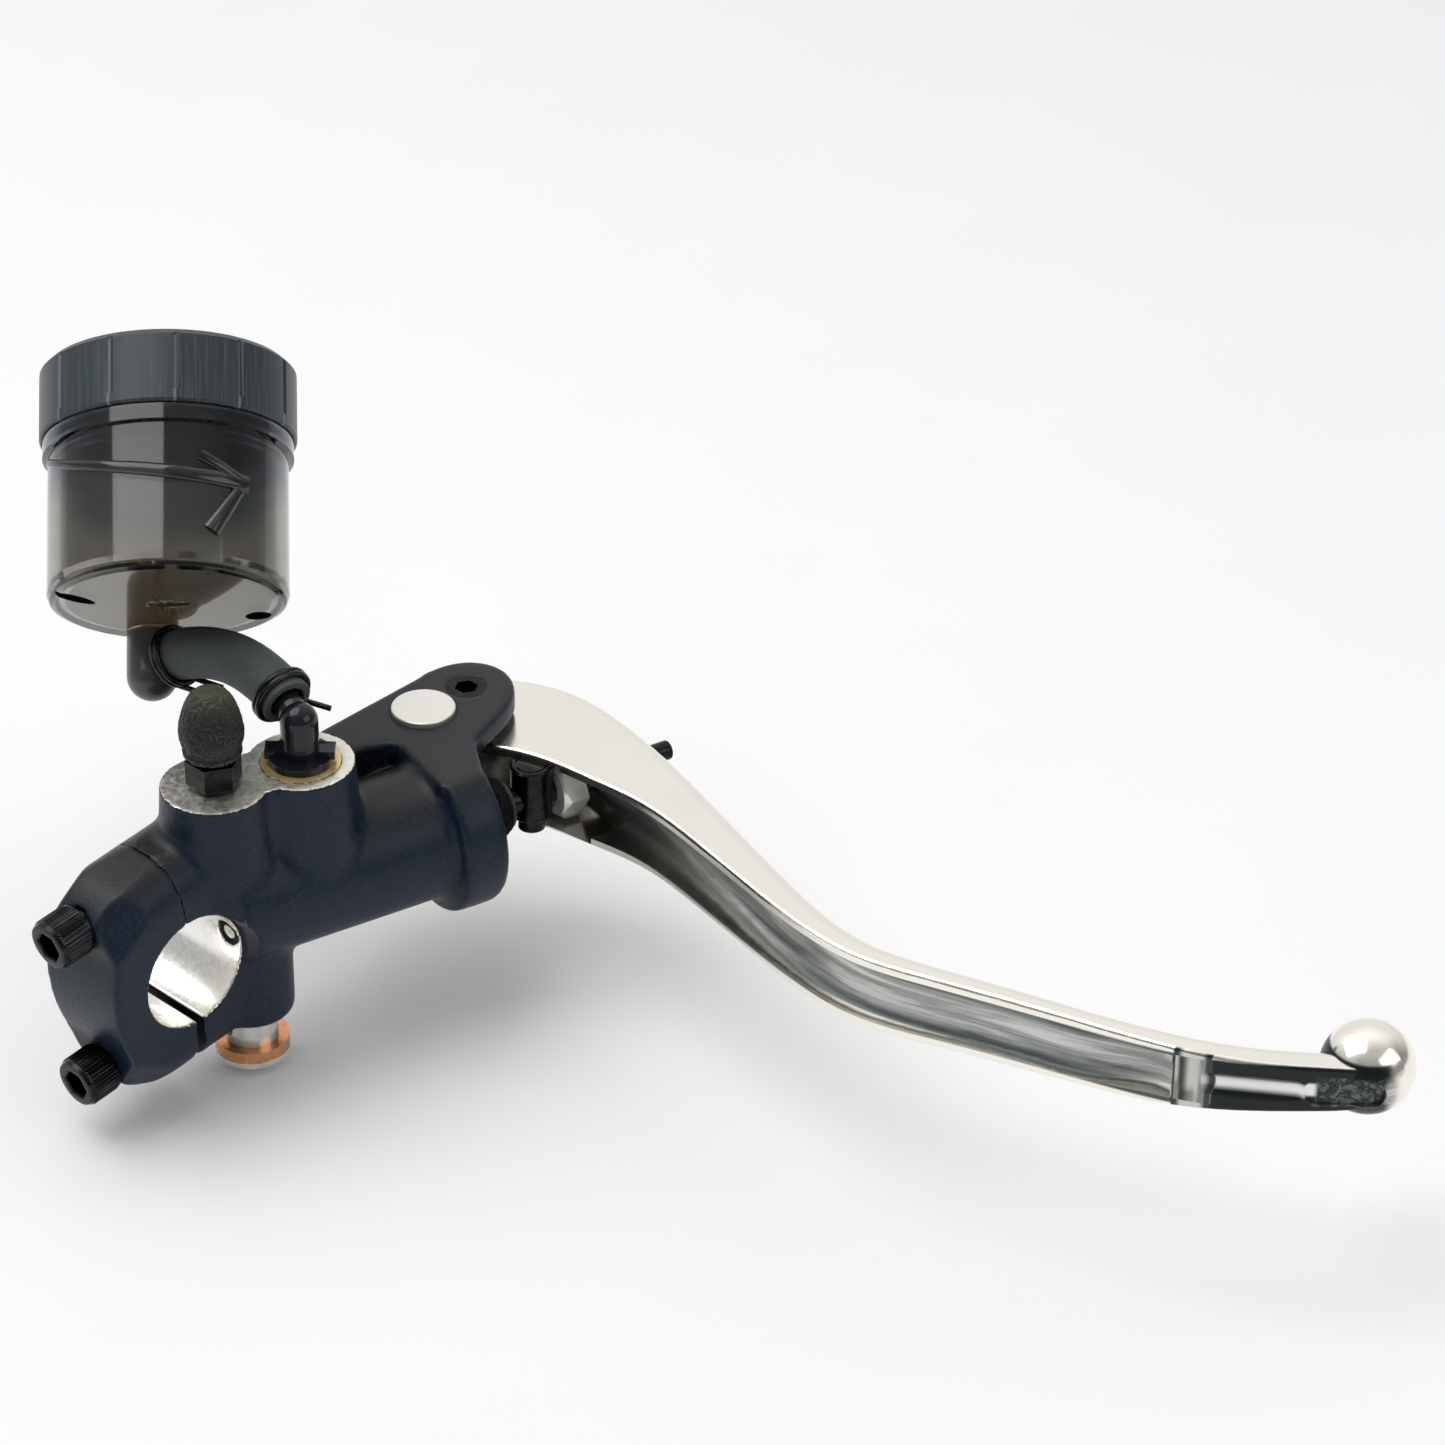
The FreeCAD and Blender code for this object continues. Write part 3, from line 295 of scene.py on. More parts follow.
class Shader:
    """A node material built by short calls. Lengths are in mm on the real object."""

    def __init__(self, name, **base):
        self.material = bpy.data.materials.new(name)
        self.material.use_nodes = True
        self.tree = self.material.node_tree
        self.surface = self.tree.nodes["Principled BSDF"]
        self.place = self.add("ShaderNodeTexCoord").outputs["Object"]
        self.set(**base)

    def add(self, kind, inputs=None, **settings):
        node = self.tree.nodes.new(kind)
        for key, value in settings.items():
            setattr(node, key, value)
        for key, value in (inputs or {}).items():
            self.put(node.inputs[key], value)
        return node

    def put(self, socket, value):
        if isinstance(value, bpy.types.NodeSocket):
            self.tree.links.new(value, socket)
        elif isinstance(value, tuple) and len(value) == 3 and socket.type == "RGBA":
            socket.default_value = (*value, 1)
        else:
            socket.default_value = value

    def set(self, **values):
        for key, value in values.items():
            self.put(self.surface.inputs[key.replace("_", " ")], value)

    def math(self, operation, a, b=0.0, clamp=False):
        node = self.add("ShaderNodeMath", {0: a, 1: b}, operation=operation, use_clamp=clamp)
        return node.outputs[0]

    def noise(self, size, detail=3.0, rough=0.5, place=None, warp=0.0):
        inputs = {"Vector": place or self.place, "Scale": 1.0 / (size * MM), "Detail": detail,
                  "Roughness": rough, "Distortion": warp}
        return self.add("ShaderNodeTexNoise", inputs).outputs["Fac"]

    def framed(self, base, axis, scale=(1.0, 1.0, 1.0), spin=0.0):
        """Object coordinates in a frame that stands on base with Z along axis, over a scale."""
        turn = Vector((0, 0, 1)).rotation_difference(Vector(axis)).to_matrix() @ Matrix.Rotation(spin, 3, "Z")
        mapping = self.add("ShaderNodeMapping", {"Vector": self.place}, vector_type="TEXTURE")
        mapping.inputs["Location"].default_value = base
        mapping.inputs["Rotation"].default_value = turn.to_euler()
        mapping.inputs["Scale"].default_value = scale
        return mapping.outputs["Vector"]

    def streaked(self, axis, factor):
        """Object coordinates shortened along an axis, so that noise on them makes streaks."""
        return self.framed((0, 0, 0), axis, (1.0, 1.0, factor))

    def level(self, base, axis):
        """Height over base along axis, in metres."""
        return self.add("ShaderNodeSeparateXYZ", {0: self.framed(base, axis)}).outputs["Z"]

    def from_axis(self, base, axis, scale=(1.0, 1.0, 1.0), spin=0.0):
        """Distance from an axis, in metres over the scale."""
        flat = self.add("ShaderNodeVectorMath", {0: self.framed(base, axis, scale, spin), 1: (1.0, 1.0, 0.0)},
                        operation="MULTIPLY")
        return self.add("ShaderNodeVectorMath", {0: flat.outputs[0]}, operation="LENGTH").outputs["Value"]

    def component(self, which):
        geometry = self.add("ShaderNodeNewGeometry")
        split = self.add("ShaderNodeSeparateXYZ", {0: geometry.outputs["Normal"]})
        return split.outputs[which]

    def around(self, base, axis, spin):
        """Angle round an axis, in radians."""
        split = self.add("ShaderNodeSeparateXYZ", {0: self.framed(base, axis, spin=spin)})
        return self.math("ARCTAN2", split.outputs["Y"], split.outputs["X"])

    def between(self, value, low, high, soft):
        """1 where low < value < high, with soft sides."""
        rise = self.steps(value, low - soft, low + soft)
        fall = self.steps(value, high - soft, high + soft)
        return self.math("SUBTRACT", rise, fall)

    def open_sky(self, distance):
        """1 on open skin and less in creases, looking a distance in mm around."""
        return self.add("ShaderNodeAmbientOcclusion", {"Distance": distance * MM}, samples=6).outputs["AO"]

    def ridges(self, low, high):
        """1 on the ridges of a finely meshed skin and 0 in its hollows."""
        return self.steps(self.add("ShaderNodeNewGeometry").outputs["Pointiness"], low, high)

    def height(self, which):
        return self.add("ShaderNodeSeparateXYZ", {0: self.place}).outputs[which]

    def steps(self, value, low, high):
        """0 below low, 1 above high, and a smooth ramp between."""
        inputs = {"Value": value, "From Min": low, "From Max": high}
        return self.add("ShaderNodeMapRange", inputs, interpolation_type="SMOOTHSTEP").outputs[0]

    def range(self, value, low, high, to_low, to_high):
        inputs = {"Value": value, "From Min": low, "From Max": high, "To Min": to_low, "To Max": to_high}
        return self.add("ShaderNodeMapRange", inputs).outputs[0]

    def mix(self, factor, a, b):
        node = self.add("ShaderNodeMix", data_type="RGBA")
        self.put(node.inputs[0], factor)
        self.put(node.inputs[6], a)
        self.put(node.inputs[7], b)
        return node.outputs[2]

    def edges(self, radius):
        """1 along convex edges, from how far a rounded normal strays from the true one."""
        geometry = self.add("ShaderNodeNewGeometry")
        bevel = self.add("ShaderNodeBevel", {"Radius": radius * MM}, samples=4)
        dot = self.add("ShaderNodeVectorMath", {0: bevel.outputs[0], 1: geometry.outputs["Normal"]},
                       operation="DOT_PRODUCT")
        return self.steps(self.math("SUBTRACT", 1.0, dot.outputs["Value"]), 0.02, 0.2)

    def bump(self, layers):
        """Stack (height, strength, depth in mm) layers into one normal."""
        normal = None
        for height, strength, depth in layers:
            inputs = {"Height": height, "Strength": strength, "Distance": depth * MM}
            node = self.add("ShaderNodeBump", inputs)
            if normal is not None:
                self.put(node.inputs["Normal"], normal)
            normal = node.outputs["Normal"]
        self.set(Normal=normal)


# ---- materials ------------------------------------------------------------------------------


def cast_coat():
    """Satin black coating with a blue cast over a fine-grained forging, thin on its edges; its pale edges are
    partly that wear and partly a painted edge highlight. Up-facing skin gets a lighter painted top light, and
    creases get painted shade.
    """
    m = Shader("cast_coat", Coat_Weight=0.03, Coat_Roughness=0.25)
    grain = m.noise(0.85, 5, 0.62)
    cloud = m.noise(9, 3, 0.55)
    # Painted light: skin facing up is mixed towards a lighter grey, as light falling on top would show.
    up = m.steps(m.component("Z"), 0.45, 0.95)
    navy = m.mix(cloud, (0.0016, 0.0075, 0.0200), (0.0045, 0.0150, 0.0340))
    painted_top_light = m.mix(cloud, (0.0110, 0.0125, 0.0140), (0.0180, 0.0190, 0.0200))
    # Painted shade: creases and recesses are darkened towards near black by the occlusion mask.
    body = m.mix(m.steps(m.open_sky(12), 0.35, 0.90), (0.0010, 0.0016, 0.0030), m.mix(up, navy, painted_top_light))
    speck = m.mix(m.math("MULTIPLY", m.steps(grain, 0.50, 0.72), 0.5), body, (0.030, 0.042, 0.058))
    # Pale edges: partly wear of the coating, partly a painted edge highlight.
    edge_wear_and_highlight = m.math("MULTIPLY", m.edges(0.4), m.steps(m.noise(1.6, 4, 0.7), 0.34, 0.62))
    m.set(Base_Color=m.mix(m.math("MULTIPLY", edge_wear_and_highlight, 0.55), speck, (0.22, 0.24, 0.26)))
    m.set(Roughness=m.range(grain, 0.3, 0.7, 0.30, 0.48), Specular_IOR_Level=0.26)
    m.bump([(grain, 0.55, 0.14), (m.noise(2.6, 3, 0.5), 0.12, 0.10)])
    return m.material


def machined_face(name, colour, dark, base, axis, pitch=0.28, rough=(0.24, 0.42), lines_strength=0.12):
    """Bare machined metal with turning lines round an axis, mottled by handling."""
    m = Shader(name, Metallic=1.0)
    distance = m.from_axis(base, axis)
    phase = m.math("MULTIPLY", distance, 2 * math.pi / (pitch * MM))
    lines = m.math("SINE", phase)
    mottle = m.noise(1.1, 5, 0.6, warp=0.4)
    m.set(Base_Color=m.mix(m.range(mottle, 0.35, 0.65, 0.0, 1.0), dark, colour))
    m.set(Roughness=m.range(mottle, 0.3, 0.7, rough[0], rough[1]))
    m.bump([(lines, lines_strength, 0.02), (m.noise(0.35, 3, 0.6), 0.05, 0.01)])
    return m.material


def plated_steel(name, colour, dark, rough=(0.16, 0.34), grain=0.5, metallic=1.0):
    """Plated or oxide-coated steel with fine tool marks, a patchy darker tone, and a painted highlight along its
    edges.
    """
    m = Shader(name, Metallic=metallic)
    cloud = m.noise(2.6, 3, 0.5)
    fine = m.noise(grain, 4, 0.6)
    shade = m.mix(m.range(cloud, 0.3, 0.7, 0.0, 1.0), dark, colour)
    # Painted highlight: convex edges are mixed towards a brighter copy of the colour.
    bright = tuple(min(1.0, c * 1.8 + 0.05) for c in colour)
    m.set(Base_Color=m.mix(m.math("MULTIPLY", m.edges(0.18), 0.6), shade, bright))
    m.set(Roughness=m.range(fine, 0.3, 0.7, rough[0], rough[1]))
    m.bump([(fine, 0.05, 0.01)])
    return m.material


def polished_lever():
    """Hand-polished aluminium; the hollow along the back keeps the duller finish of its milling, with painted
    shade under its top edge and above its flange. Past the notch the hollow is painted near black as shade, save a
    pale band along the crest, and the notch's sides carry painted shade.
    """
    m = Shader("polished_lever", Metallic=1.0)
    flat = m.framed((0, 0, 0), (0, 0, 1), (22.0, 22.0, 1.0))
    swirl = m.noise(0.3, 4, 0.6, place=flat)
    haze = m.noise(14, 3, 0.5)
    bright = m.mix(haze, (0.93, 0.885, 0.79), (0.95, 0.93, 0.88))
    x = m.height("X")
    z = m.height("Z")
    back = m.steps(m.math("MULTIPLY", m.component("Y"), -1.0), 0.10, 0.45)
    hollow = m.math("MULTIPLY", back, m.between(z, HOLLOW_LOW, HOLLOW_HIGH, 0.3 * MM))
    streak = m.noise(1.5, 5, 0.65, place=flat, warp=0.3)
    # Painted shade: the hollow darkens under its top edge and above its flange.
    under_top = m.steps(z, 8.6 * MM, 11.6 * MM)
    over_flange = m.math("SUBTRACT", 1.0, m.steps(z, 2.8 * MM, 4.2 * MM))
    shade = m.math("MAXIMUM", under_top, over_flange)
    floor_of = m.mix(shade, (0.70, 0.72, 0.69), (0.085, 0.100, 0.100))
    milled_and_shaded = m.mix(m.steps(streak, 0.40, 0.66), m.mix(0.65, floor_of, (0.06, 0.07, 0.07)), floor_of)
    # Painted shade: past the notch the hollow is near black, save a pale band along the crest.
    beyond = m.math("MULTIPLY", hollow, m.between(x, NOTCH_X + 3.0 * MM, PAD_END, 0.4 * MM))
    crest = m.between(z, GROOVE_Z - 1.3 * MM, GROOVE_Z + 1.3 * MM, 0.4 * MM)
    tip_hollow_shade = m.mix(crest, (0.014, 0.018, 0.018), (0.88, 0.88, 0.85))
    pad_grain = m.noise(1.3, 3, 0.55, warp=1.2)
    pad_span = m.between(x, PAD_X, PAD_END, 0.4 * MM)
    pad = m.math("MULTIPLY", pad_span, m.between(z, GROOVE_Z - 3.2 * MM, GROOVE_Z + 3.0 * MM, 0.3 * MM))
    pad = m.math("MULTIPLY", back, pad)
    padded = m.mix(m.steps(pad_grain, 0.42, 0.66), (0.020, 0.026, 0.024), (0.130, 0.145, 0.130))
    # Painted shade on the notch's sides; its middle stays pale grey.
    from_notch = m.math("ABSOLUTE", m.math("SUBTRACT", x, NOTCH_X))
    notch = m.math("MULTIPLY", back, m.math("SUBTRACT", 1.0, m.steps(from_notch, 2.9 * MM, 3.2 * MM)))
    notch_side_shade = m.mix(m.steps(from_notch, 1.3 * MM, 2.4 * MM), (0.62, 0.63, 0.60), (0.05, 0.06, 0.06))
    tone = m.mix(hollow, bright, milled_and_shaded)
    tone = m.mix(beyond, tone, tip_hollow_shade)
    tone = m.mix(pad, tone, padded)
    m.set(Base_Color=m.mix(notch, tone, notch_side_shade))
    polish = m.range(swirl, 0.3, 0.7, 0.13, 0.21)
    dull = m.range(streak, 0.3, 0.7, 0.24, 0.38)
    m.set(Roughness=m.math("ADD", m.math("MULTIPLY", polish, m.math("SUBTRACT", 1.0, hollow)),
                           m.math("MULTIPLY", dull, hollow)))
    m.set(Metallic=m.math("SUBTRACT", 1.0, m.math("MULTIPLY", hollow, 0.35)))
    grit = m.noise(0.5, 3, 0.6)
    m.bump([(swirl, 0.03, 0.01), (grit, m.math("MULTIPLY", hollow, 0.06), 0.03),
            (pad_grain, m.math("MULTIPLY", pad, 0.5), 0.12)])
    return m.material


def copper():
    base = (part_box("crush_washers")[0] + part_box("crush_washers")[1]) / 2
    return machined_face("copper", (0.86, 0.42, 0.22), (0.68, 0.29, 0.14), base, (0, 0, 1), 0.45, (0.16, 0.3))


def gloss_plastic():
    m = Shader("gloss_black_plastic", Coat_Weight=0.15, Coat_Roughness=0.04, Specular_IOR_Level=0.28)
    m.set(Base_Color=m.mix(m.noise(5, 2, 0.5), (0.004, 0.006, 0.009), (0.012, 0.014, 0.018)))
    m.set(Roughness=m.range(m.noise(1.2, 3, 0.5), 0.3, 0.7, 0.05, 0.12))
    m.bump([(m.noise(1.4, 2, 0.5), 0.06, 0.04)])
    return m.material


def cap_plastic():
    """Satin moulded plastic with fine drawn lines up the cap's flank; on the flank each groove has a painted
    highlight on one side and painted shade fading away on the other.
    """
    m = Shader("cap_plastic", Coat_Weight=0.08, Coat_Roughness=0.3, Specular_IOR_Level=0.35)
    lines = m.noise(0.45, 4, 0.65, place=m.streaked(JAR_AXIS, 40))
    cloud = m.noise(6, 3, 0.5, place=m.streaked(JAR_AXIS, 6))
    turn = m.around(JAR_BASE, JAR_AXIS, math.atan2(JAR_ACROSS.y, JAR_ACROSS.x))
    panel = m.math("MULTIPLY", m.math("SUBTRACT", turn, CAP_TURN), CAP_PANELS / (2 * math.pi))
    panel = m.math("FRACT", m.math("ADD", panel, 0.5))
    # Painted highlight just before each groove and painted shade fading away after it.
    lit = m.between(panel, 0.455, 0.495, 0.012)
    fading = m.math("SUBTRACT", 1.0, m.steps(panel, 0.505, 0.75))
    shaded = m.math("MULTIPLY", fading, m.steps(panel, 0.50, 0.51))
    height = m.level(JAR_BASE, JAR_AXIS)
    flank = m.math("SUBTRACT", 1.0, m.steps(height, CAP_TOP - 1.6 * MM, CAP_TOP - 1.2 * MM))
    tone = m.mix(cloud, (0.012, 0.021, 0.028), (0.036, 0.050, 0.060))
    tone = m.mix(m.math("MULTIPLY", m.math("MULTIPLY", shaded, flank), 0.6), tone, (0.008, 0.013, 0.018))
    tone = m.mix(m.math("MULTIPLY", m.math("MULTIPLY", lit, flank), 0.7), tone, (0.16, 0.19, 0.21))
    m.set(Base_Color=m.mix(m.math("MULTIPLY", m.steps(lines, 0.45, 0.75), 0.35), tone, (0.12, 0.14, 0.155)))
    m.set(Roughness=m.range(lines, 0.3, 0.7, 0.32, 0.48))
    m.bump([(lines, 0.10, 0.04), (m.noise(0.4, 3, 0.5), 0.06, 0.02)])
    return m.material


def smoked_plastic():
    """Smoked translucent plastic, slightly wavy from the mould; its outlet is solid grey, and the pockets in its
    base are painted near black and opaque as shade.
    """
    m = Shader("smoked_plastic", IOR=1.49, Coat_Roughness=0.05)
    level = m.level(JAR_BASE, JAR_AXIS)
    cloud = m.noise(11, 3, 0.5, place=m.streaked(JAR_AXIS, 3))
    smoke = m.mix(cloud, (0.20, 0.19, 0.165), (0.34, 0.325, 0.285))
    outlet_gap = m.from_axis(jar_place(*JAR_OUTLET, 0), JAR_AXIS)
    near_outlet = m.math("SUBTRACT", 1.0, m.steps(outlet_gap, 6 * MM, 9 * MM))
    smoke = m.mix(m.math("MULTIPLY", near_outlet, 0.75), smoke, (0.23, 0.165, 0.095))
    smoke = m.mix(m.steps(level, 15 * MM, 24 * MM), smoke, (0.055, 0.075, 0.105))
    in_base = m.math("SUBTRACT", 1.0, m.steps(level, 1.5 * MM, 1.8 * MM))
    across = math.atan2(JAR_ACROSS.y, JAR_ACROSS.x)
    slot = m.from_axis(jar_place(*BASE_SLOT, 0), JAR_AXIS, (4.6, 1.5, 1.0), across + BASE_SLOT_TURN)
    hole = m.from_axis(jar_place(*BASE_HOLE, 0), JAR_AXIS, (2.6, 2.1, 1.0), across + BASE_HOLE_TURN)
    pocket = m.math("LESS_THAN", m.math("MINIMUM", slot, hole), 1.0 * MM)
    # Painted shade: the pockets in the base are near black, opaque and without gloss.
    dark = m.math("MULTIPLY", pocket, in_base)
    outlet = m.math("SUBTRACT", 1.0, m.steps(level, -0.7 * MM, -0.2 * MM))
    solid = m.math("MAXIMUM", outlet, dark)
    grey = m.mix(m.noise(4, 3, 0.5), (0.030, 0.034, 0.035), (0.058, 0.062, 0.062))
    m.set(Base_Color=m.mix(dark, m.mix(outlet, smoke, grey), (0.004, 0.004, 0.004)))
    m.set(Transmission_Weight=m.math("SUBTRACT", 1.0, solid))
    m.set(Coat_Weight=m.range(dark, 0, 1, 0.25, 0.0), Specular_IOR_Level=m.range(dark, 0, 1, 0.5, 0.0))
    ripple = m.range(m.noise(1.4, 4, 0.6), 0.3, 0.7, 0.05, 0.12)
    m.set(Roughness=m.math("ADD", ripple, m.math("MULTIPLY", solid, 0.25)))
    m.bump([(m.noise(3.2, 3, 0.5), 0.08, 0.10), (m.noise(0.5, 3, 0.6), 0.04, 0.02)])
    return m.material


def hose_rubber():
    m = Shader("hose_rubber", Specular_IOR_Level=0.35)
    weave = m.noise(0.35, 4, 0.65)
    cloud = m.noise(5, 3, 0.55)
    tone = m.mix(cloud, (0.042, 0.049, 0.050), (0.078, 0.087, 0.088))
    m.set(Base_Color=m.mix(m.math("MULTIPLY", m.steps(weave, 0.5, 0.7), 0.4), tone, (0.13, 0.14, 0.14)))
    m.set(Roughness=m.range(weave, 0.3, 0.7, 0.55, 0.78))
    m.bump([(weave, 0.30, 0.08)])
    return m.material


def moulded_rubber(name, dark, light, tip=None):
    """Dusty moulded rubber, paler on its ridges, partly from dusting and partly as a painted highlight; given a
    tip height, it also gets an olive painted highlight towards the tip.
    """
    m = Shader(name, Specular_IOR_Level=0.4)
    coarse = m.noise(0.8, 4, 0.6, warp=0.8)
    # Paler ridges: partly a dusting, partly a painted highlight.
    dusting_and_ridge_highlight = m.math("MULTIPLY", m.steps(coarse, 0.35, 0.60), m.ridges(0.505, 0.57))
    shade = m.mix(dusting_and_ridge_highlight, dark, light)
    if tip is not None:
        # Painted highlight: an olive sheen towards the tip.
        tip_painted_highlight = m.math("MULTIPLY", m.steps(m.height("Z"), tip - 5 * MM, tip), 0.6)
        shade = m.mix(tip_painted_highlight, shade, (0.060, 0.056, 0.026))
    m.set(Base_Color=shade)
    m.set(Roughness=m.range(coarse, 0.3, 0.7, 0.45, 0.7))
    m.bump([(coarse, 0.30, 0.10), (m.noise(0.25, 3, 0.6), 0.15, 0.03)])
    return m.material


def badge_metal():
    m = Shader("badge_metal", Metallic=0.9)
    fine = m.noise(0.6, 4, 0.6)
    m.set(Base_Color=m.mix(fine, (0.78, 0.76, 0.70), (0.90, 0.88, 0.83)))
    m.set(Roughness=m.range(fine, 0.3, 0.7, 0.36, 0.5))
    m.bump([(fine, 0.1, 0.03)])
    return m.material


MATERIALS = {
    "black_cast": cast_coat(),
    "black_oxide": plated_steel("black_oxide", (0.030, 0.031, 0.033), (0.012, 0.013, 0.014), (0.18, 0.32)),
    "polished_aluminium": polished_lever(),
    "machined_aluminium": machined_face("machined_aluminium", (0.90, 0.88, 0.82), (0.62, 0.60, 0.55),
                                        along(0), PUSH_AXIS),
    "zinc_steel": plated_steel("zinc_steel", (0.86, 0.87, 0.84), (0.66, 0.67, 0.65), (0.12, 0.26), 1.1,
                               0.55),
    "spring_steel": plated_steel("spring_steel", (0.055, 0.056, 0.060), (0.018, 0.019, 0.021), (0.2, 0.36)),
    "copper": copper(),
    "bronze": plated_steel("bronze", (0.62, 0.45, 0.22), (0.40, 0.27, 0.12)),
    "gold_ring": plated_steel("gold_ring", (0.88, 0.68, 0.36), (0.76, 0.56, 0.27), (0.2, 0.32), 1.6, 0.7),
    "gloss_black_plastic": gloss_plastic(),
    "cap_plastic": cap_plastic(),
    "smoked_plastic": smoked_plastic(),
    "hose_rubber": hose_rubber(),
    "soft_rubber": moulded_rubber("soft_rubber", (0.006, 0.007, 0.006), (0.050, 0.053, 0.048)),
    "badge_metal": badge_metal(),
}


def dress_nodes():
    for part in frame["record"]["subparts"]:
        mesh = nodes[part["node"]].data
        mesh.materials.clear()
        mesh.materials.append(MATERIALS[part["material_slot"]])


# ---- casting and clamp cap ------------------------------------------------------------------


def ramp(value, low, high):
    return np.clip((value - low) / (high - low), 0, 1)


def free_to_round(places, near_split):
    """1 where the forging may be rounded, 0 on machined faces and where other parts fit."""
    x, y, z = (places / MM).T
    s = x * PUSH_AXIS.x + y * PUSH_AXIS.y
    from_bar = np.hypot(y, z) - BAR_RADIUS / MM
    free = ramp(from_bar, 0.9, 2.2)
    free = free * ramp(BOSS_TOP / MM - z, 0.5, 1.6)
    split = y * math.cos(CLAMP_TILT) + z * math.sin(CLAMP_TILT)
    in_clamp = (np.abs(x) < CLAMP_HALF_WIDTH) & (np.abs(z) < CLAMP_HALF_HEIGHT) & (y < CLAMP_FRONT)
    free = np.where(in_clamp, free * near_split(split), free)
    pivot_gap = np.hypot(x - PIVOT.x / MM, y - PIVOT.y / MM)
    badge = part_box("badge_disc")
    middle = (badge[0] + badge[1]) / (2 * MM)
    badge_gap = np.hypot(x - middle.x, y - middle.y)
    on_ear = z > EAR_TOP / MM - 3
    free = np.where(on_ear, free * ramp(pivot_gap, 4.6, 5.6) * ramp(badge_gap, 6.8, 7.8), free)
    between_ears = (s > EAR_GAP_START) & (np.abs(z - AXIS_Z / MM) < EAR_GAP_HALF)
    from_axis = np.hypot(x * SIDE_AXIS.x + y * SIDE_AXIS.y, z - AXIS_Z / MM)
    bored = (s > BORE_START) & (from_axis < BORE_WALL)
    return np.where(between_ears | bored, 0.0, free)


def sort_faces(obj, tests):
    """Give each face the material of the first test(centre, normal) that holds, or else material 0."""
    for polygon in obj.data.polygons:
        polygon.material_index = 0
        for index, test in tests:
            if test(polygon.center, polygon.normal):
                polygon.material_index = index
                break


def on_bar_bore(centre, normal):
    radial = Vector((0, centre.y, centre.z))
    on_wall = abs(centre.x) < BORE_HALF_WIDTH * MM and radial.length < BAR_RADIUS + 0.12 * MM
    return on_wall and normal.dot(radial) < 0


def on_boss_face(centre, normal):
    return centre.z > BOSS_TOP - 0.25 * MM and normal.z > 0.8


def casting_piece(node, name, near_split, materials, tests):
    piece = remeshed(welded_copy(node, name), 0.42 * MM)
    forge(piece, free_to_round(vertex_array(piece.data), near_split), 70, 12)
    finish_piece(piece, "housing", materials, [node], 38)
    sort_faces(piece, tests)
    return piece


def make_castings():
    face = machined_face("boss_face", (0.90, 0.875, 0.80), (0.74, 0.715, 0.64), (0, 0, 0), (0, 0, 1), 0.5,
                         (0.34, 0.5), 0.05)
    bore = machined_face("bar_bore", (0.93, 0.91, 0.87), (0.82, 0.80, 0.75), (0, 0, 0), (1, 0, 0), 0.4,
                         (0.18, 0.30), 0.02)
    materials = [MATERIALS["black_cast"], face, bore]
    tests = [(1, on_boss_face), (2, on_bar_bore)]
    casting_piece("cylinder_body", "casting", lambda u: ramp(u, 0.5, 1.6), materials, tests)
    casting_piece("clamp_cap", "clamp_cap_forging", lambda u: ramp(-u, 0.5, 1.6), materials, tests)


# ---- knurled screws -------------------------------------------------------------------------


def hex_reach(across_flats, angle):
    """Distance from a hexagon's middle to its side in a direction."""
    third = math.radians(60)
    return across_flats / 2 / math.cos((angle % third) - third / 2)


def clamp_screw(name, height):
    """A socket cap screw with a knurled head, built ring by ring from the socket's floor."""
    count = KNURLS * 6
    tilt = Matrix.Rotation(CLAMP_TILT, 4, "X")
    aim = (tilt @ Vector((0, 1, 0))).normalized()
    base = tilt @ Vector((0, BOLT_SEAT, height))
    place = stand(base, aim)
    top = -BOLT_HEAD_LENGTH / MM
    head = BOLT_HEAD_RADIUS / MM
    shank = 3.0
    end = 24.6
    socket = 5.0
    knurl_depth = 0.28

    def knurl(angle):
        tooth = abs(((angle * KNURLS / (2 * math.pi)) % 1.0) - 0.5) * 2
        return head - knurl_depth * min(1.0, tooth * 1.6)

    profile = [
        (lambda a: 0.0, top + 3.6), (lambda a: hex_reach(socket, a), top + 3.4),
        (lambda a: hex_reach(socket, a), top + 0.35), (lambda a: hex_reach(socket, a) + 0.3, top + 0.05),
        (lambda a: head - 1.0, top), (lambda a: head - 0.55, top + 0.1), (lambda a: head - 0.35, top + 0.5),
        (lambda a: head - 0.25, top + 0.8), (knurl, top + 1.15), (knurl, -0.7), (lambda a: head - 0.2, -0.4),
        (lambda a: head - 0.2, 0.0), (lambda a: shank, 0.0), (lambda a: shank, end - 0.4),
        (lambda a: shank - 0.4, end), (lambda a: 0.0, end),
    ]
    rings = []
    angles = [2 * math.pi * k / count for k in range(count)]
    for reach, level in profile:
        rings.append([place @ (Vector((reach(a) * math.cos(a), reach(a) * math.sin(a), level)) * MM)
                      for a in angles])
    screw = ring_mesh(name, rings)
    return finish_piece(screw, "housing", MATERIALS["black_oxide"], ["clamp_bolts"], 24)


# ---- soft parts -----------------------------------------------------------------------------


def make_hose():
    """Extruded hose with a fine cloth print in its skin."""
    hose = remeshed(welded_copy("reservoir_hose", "hose"), 0.22 * MM)

    def print_of(p):
        return noise.noise(p * 2200) * 0.6 + noise.noise(p * 5000) * 0.4

    roughen(hose, 0.045 * MM, print_of)
    finish_piece(hose, "housing", MATERIALS["hose_rubber"], ["reservoir_hose"], 50)


